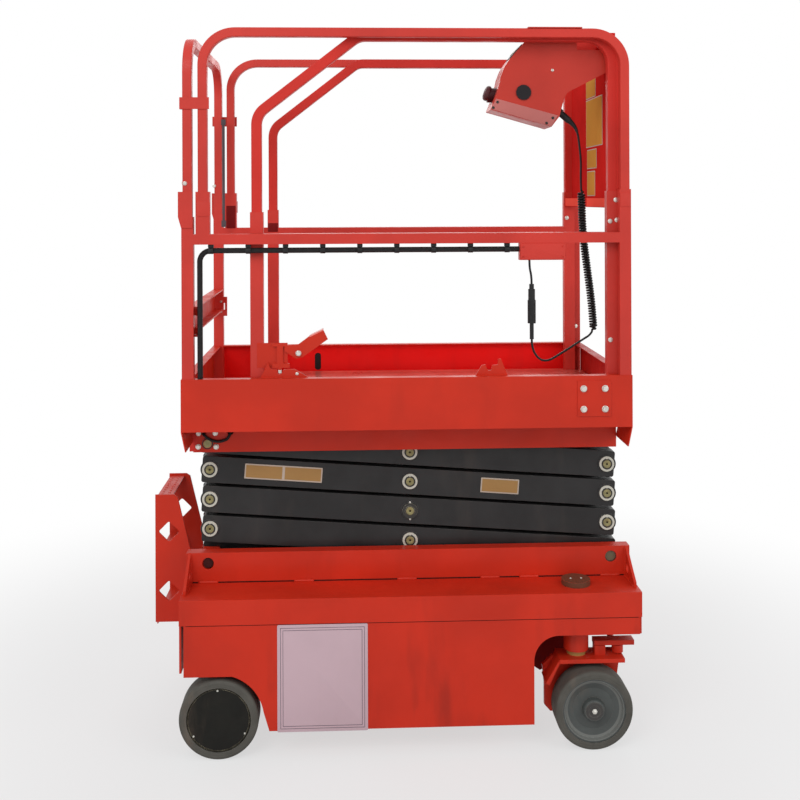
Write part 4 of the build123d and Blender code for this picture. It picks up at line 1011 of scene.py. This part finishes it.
def make_control_details(route):
    """The control box's base plate, screws, stop button, keypad and gland; gives the cord's strain relief."""
    plate = Shape()
    outline = ((0.501, 1.8668), (0.4815, 1.8338), (0.2997, 1.8868), (0.3155, 1.9175))
    plate_depth = 0.0014
    plate.plate(outline, (0, CONTROL_FACE, 0), X, Z, plate_depth, 0.0004)
    plate.done("control_base_plate", "platform", "box_base")
    corners = ((0.3195, 1.907), (0.3065, 1.8905), (0.486, 1.8595), (0.467, 1.844))
    places = [((x, CONTROL_FACE - plate_depth, z), -Y) for x, z in corners]
    bolts("control_base_screws", "platform", "clip_steel", places, 0.0042, "screw")
    bolts("control_side_screw", "platform", "zinc", [((0.4855, CONTROL_FACE, 2.0028), -Y)], 0.0046, "screw")

    # the stop button, in red darkened as painted shade
    button = Shape()
    rise = Vector((-0.94, 0.0, 0.34))
    dome = ((0, 0.0195), (0.004, 0.0235), (0.01, 0.0238), (0.015, 0.0205), (0.018, 0.0125), (0.0188, 0.0))
    button.turned(Vector(STOP_BUTTON) + rise * 0.01, rise, dome, 36)
    button.done("stop_button", "platform", "button")

    pad, keys = Shape(), Shape()
    rear_edge, top_edge = Vector((0.357, CORD_Y, 2.036)), Vector((0.4, CORD_Y, 2.086))
    middle = (rear_edge + top_edge) / 2
    up = (top_edge - rear_edge).normalized()
    out = up.cross(Y)
    pad_depth, key_pitch = 0.0018, 0.023
    pad.plate(rounded(0.104, 0.054, 0.006), middle, -Y, up, pad_depth, 0.0006)
    pad.done("control_pad", "platform", "plug", "black_cable")
    for k in range(4):
        at = middle - Y * (k - 1.5) * key_pitch + out * pad_depth
        keys.turned(at, out, ((0, 0.0078), (0.0012, 0.0078), (0.0018, 0.007), (0.0018, 0.0)), 24)
    keys.done("control_keys", "platform", "label_rim", "black_cable")

    gland = Shape()
    start, end = Vector((0.509, CORD_Y, 1.8885)), Vector(UPPER[0])
    gland.rod(start, end, 0.0104, 0.001)
    gland.turned(start, end - start, ((0.004, 0.0135), (0.016, 0.0135)), 6)
    gland.done("cord_gland", "platform", "plug", "black_cable")

    length, root, tip, rib = 0.046, 0.0095, 0.0041, 0.0006
    line = evenly(route[: next(k for k, p in enumerate(route) if (p - route[0]).length > length)], 0.0015)
    radii = []
    for k in range(len(line)):
        share = k / (len(line) - 1)
        ribbed = k % 3 == 1 and share < 0.85
        radii.append(root + (tip - root) * share**0.8 - (rib if ribbed else 0.0))
    relief = Shape()
    relief.tube(line, radii, 20)
    return relief.done("strain_relief", "platform", "plug", "black_cable", 60)


def make_front_details():
    """Blank plates on the front panel, a painted highlight on the cross rail's face, and the bolts and rivets
    in front.
    """
    panel, rail, rail_z = 0.6685, 0.6435, 1.605
    rim_depth = 0.0007
    faces, rims = Shape(), Shape()
    for low_y, high_y, low_z, high_z in (
        (-0.0706, 0.07, 1.947, 2.018),
        (-0.1627, 0.07, 1.786, 1.944),
        (-0.0814, 0.0575, 1.715, 1.779),
        (-0.0587, 0.0575, 1.6256, 1.708),
    ):
        at = Vector((panel, (low_y + high_y) / 2, (low_z + high_z) / 2))
        wide, high = high_y - low_y, high_z - low_z
        rims.plate(rounded(wide, high, 0.003), at, -Y, Z, rim_depth, 0.0002)
        face_outline = rounded(wide - 0.008, high - 0.006, 0.002)
        faces.plate(face_outline, at - X * 0.0006, -Y, Z, 0.0006, 0.0001)
    rims.done("front_plate_rims", "extension", "label_rim")
    faces.done("front_plates", "extension", "bright_label")
    # a pale strip along the cross rail: painted highlight of its top-lit face
    strip = Shape()
    strip.plate(rounded(0.6, 0.027, 0.002), (rail, 0.0, rail_z), -Y, Z, 0.001, 0.0004)
    strip.done("cross_rail_highlight", "extension", "painted_highlight_red")
    pad = Shape()
    pad.plate(rounded(0.095, 0.026, 0.002), (rail - 0.001, 0.0, rail_z), -Y, Z, 0.0008, 0.0003)
    pad.done("cross_rail_pad", "extension", "red_panel")
    places = [((0.6715, y, z), X) for y in (-0.285, 0.0, 0.285) for z in (1.64, 2.064)]
    bolts("front_panel_bolts", "extension", "zinc", places, 0.0042)
    size = 0.0074
    points = ((0.6666, 1.6134), (0.649, 1.55), (0.6694, 1.5534), (0.649, 1.198))
    bolts("extension_post_bolts", "extension", "zinc", mirrored(points, DECK_POST_FACE), size, "rivet")
    places = mirrored([(0.649, 1.549)], DECK_POST_INSIDE, inward=True)
    bolts("extension_inner_bolts", "extension", "zinc", places, size, "rivet")
    places = mirrored([(0.6865, 1.158)], 0.343, inward=True)
    bolts("front_post_studs", "platform", "zinc", places, size, "rivet")


def make_deck_tread():
    """The sliding deck's raised tread panel: a sheet on turned-down edges, wider behind the front posts."""
    low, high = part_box("extension_deck")
    sheet, top, foot = 0.003, high.z - 0.091, low.z + 0.004
    rear, front, half = low.x + 0.002, high.x - 0.006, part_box("front_rail")[1].y - 0.002
    wide_rear, wide_front, wide_half = low.x + 0.041, high.x - 0.069, high.y - 0.002
    tread = Shape()
    tread.block((rear, front), (-half, half), (top - sheet, top), 0.001)
    for x in (rear, front - sheet):
        tread.block((x, x + sheet), (-half, half), (foot, top - sheet), 0.0)
    tread.side_blocks((wide_rear, wide_front), (half, wide_half), (top - sheet, top), 0.001)
    tread.side_blocks((wide_rear, wide_front), (wide_half - sheet, wide_half), (foot, top - sheet), 0.0)
    tread.done("deck_tread", "extension", "tread")


def make_deck_lock():
    """The deck lock's bolt, pedal pad, pin tip and stop rivet, and a black plate in the drain slot as painted
    shade.
    """
    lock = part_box("deck_lock")[0]
    pivot = Vector((-0.2745, lock.y, 1.168))
    bolts("deck_lock_bolt", "extension", "zinc", [(pivot, -Y)], 0.0084)
    heel, toe = Vector((0.031, 0.0, 0.049)), Vector((0.072, 0.0, 0.069))
    way = (toe - heel).normalized()
    middle = pivot + (heel + toe) / 2 + Y.cross(way) * 0.0018
    length, half_depth = (toe - heel).length, 0.0016
    pedal = Shape()
    pedal.block(
        (middle.x - length / 2, middle.x + length / 2),
        (lock.y + 0.001, 0.004 - DECK_POST_INSIDE),
        (middle.z - half_depth, middle.z + half_depth),
        0.0008,
        Matrix.Rotation(-atan2(way.z, way.x), 4, "Y"),
    )
    pedal.done("lock_pedal_pad", "extension", "tread")
    tip = Shape()
    tip.block((-0.3335, -0.3235), (-0.3465, -0.3395), (lock.z - 0.0006, lock.z + 0.009), 0.001)
    tip.done("lock_pin_tip", "extension", "zinc", "pin_steel")
    bolts("stop_rivet", "platform", "zinc", [((-0.2785, -0.351, 1.1085), -Y)], 0.005, "rivet")

    # a black plate in the drain slot: painted shade of the slot's dark inside
    slot = Vector((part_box("toe_boards")[0].x + 0.371, 0.375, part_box("platform_floor")[1].z + 0.0798))
    slot_shade = Shape()
    slot_shade.plate(rounded(0.044, 0.084, 0.012), slot, -X, Z, 0.002, 0.0006)
    slot_shade.done("slot_painted_shade", "platform", "plug", "black_cable")


make_camera()
make_finishes()
cord, route, tail, tail_line = make_cords()
make_stage()
paint_nodes()
make_pins()
make_arm_details()
make_placards()
make_seams_and_welds()
make_base_details()
make_wheel_details()
make_platform_fixings()
make_platform_plates()
make_platform_fittings()
relief = make_control_details(route)
make_front_details()
make_deck_tread()
make_deck_lock()
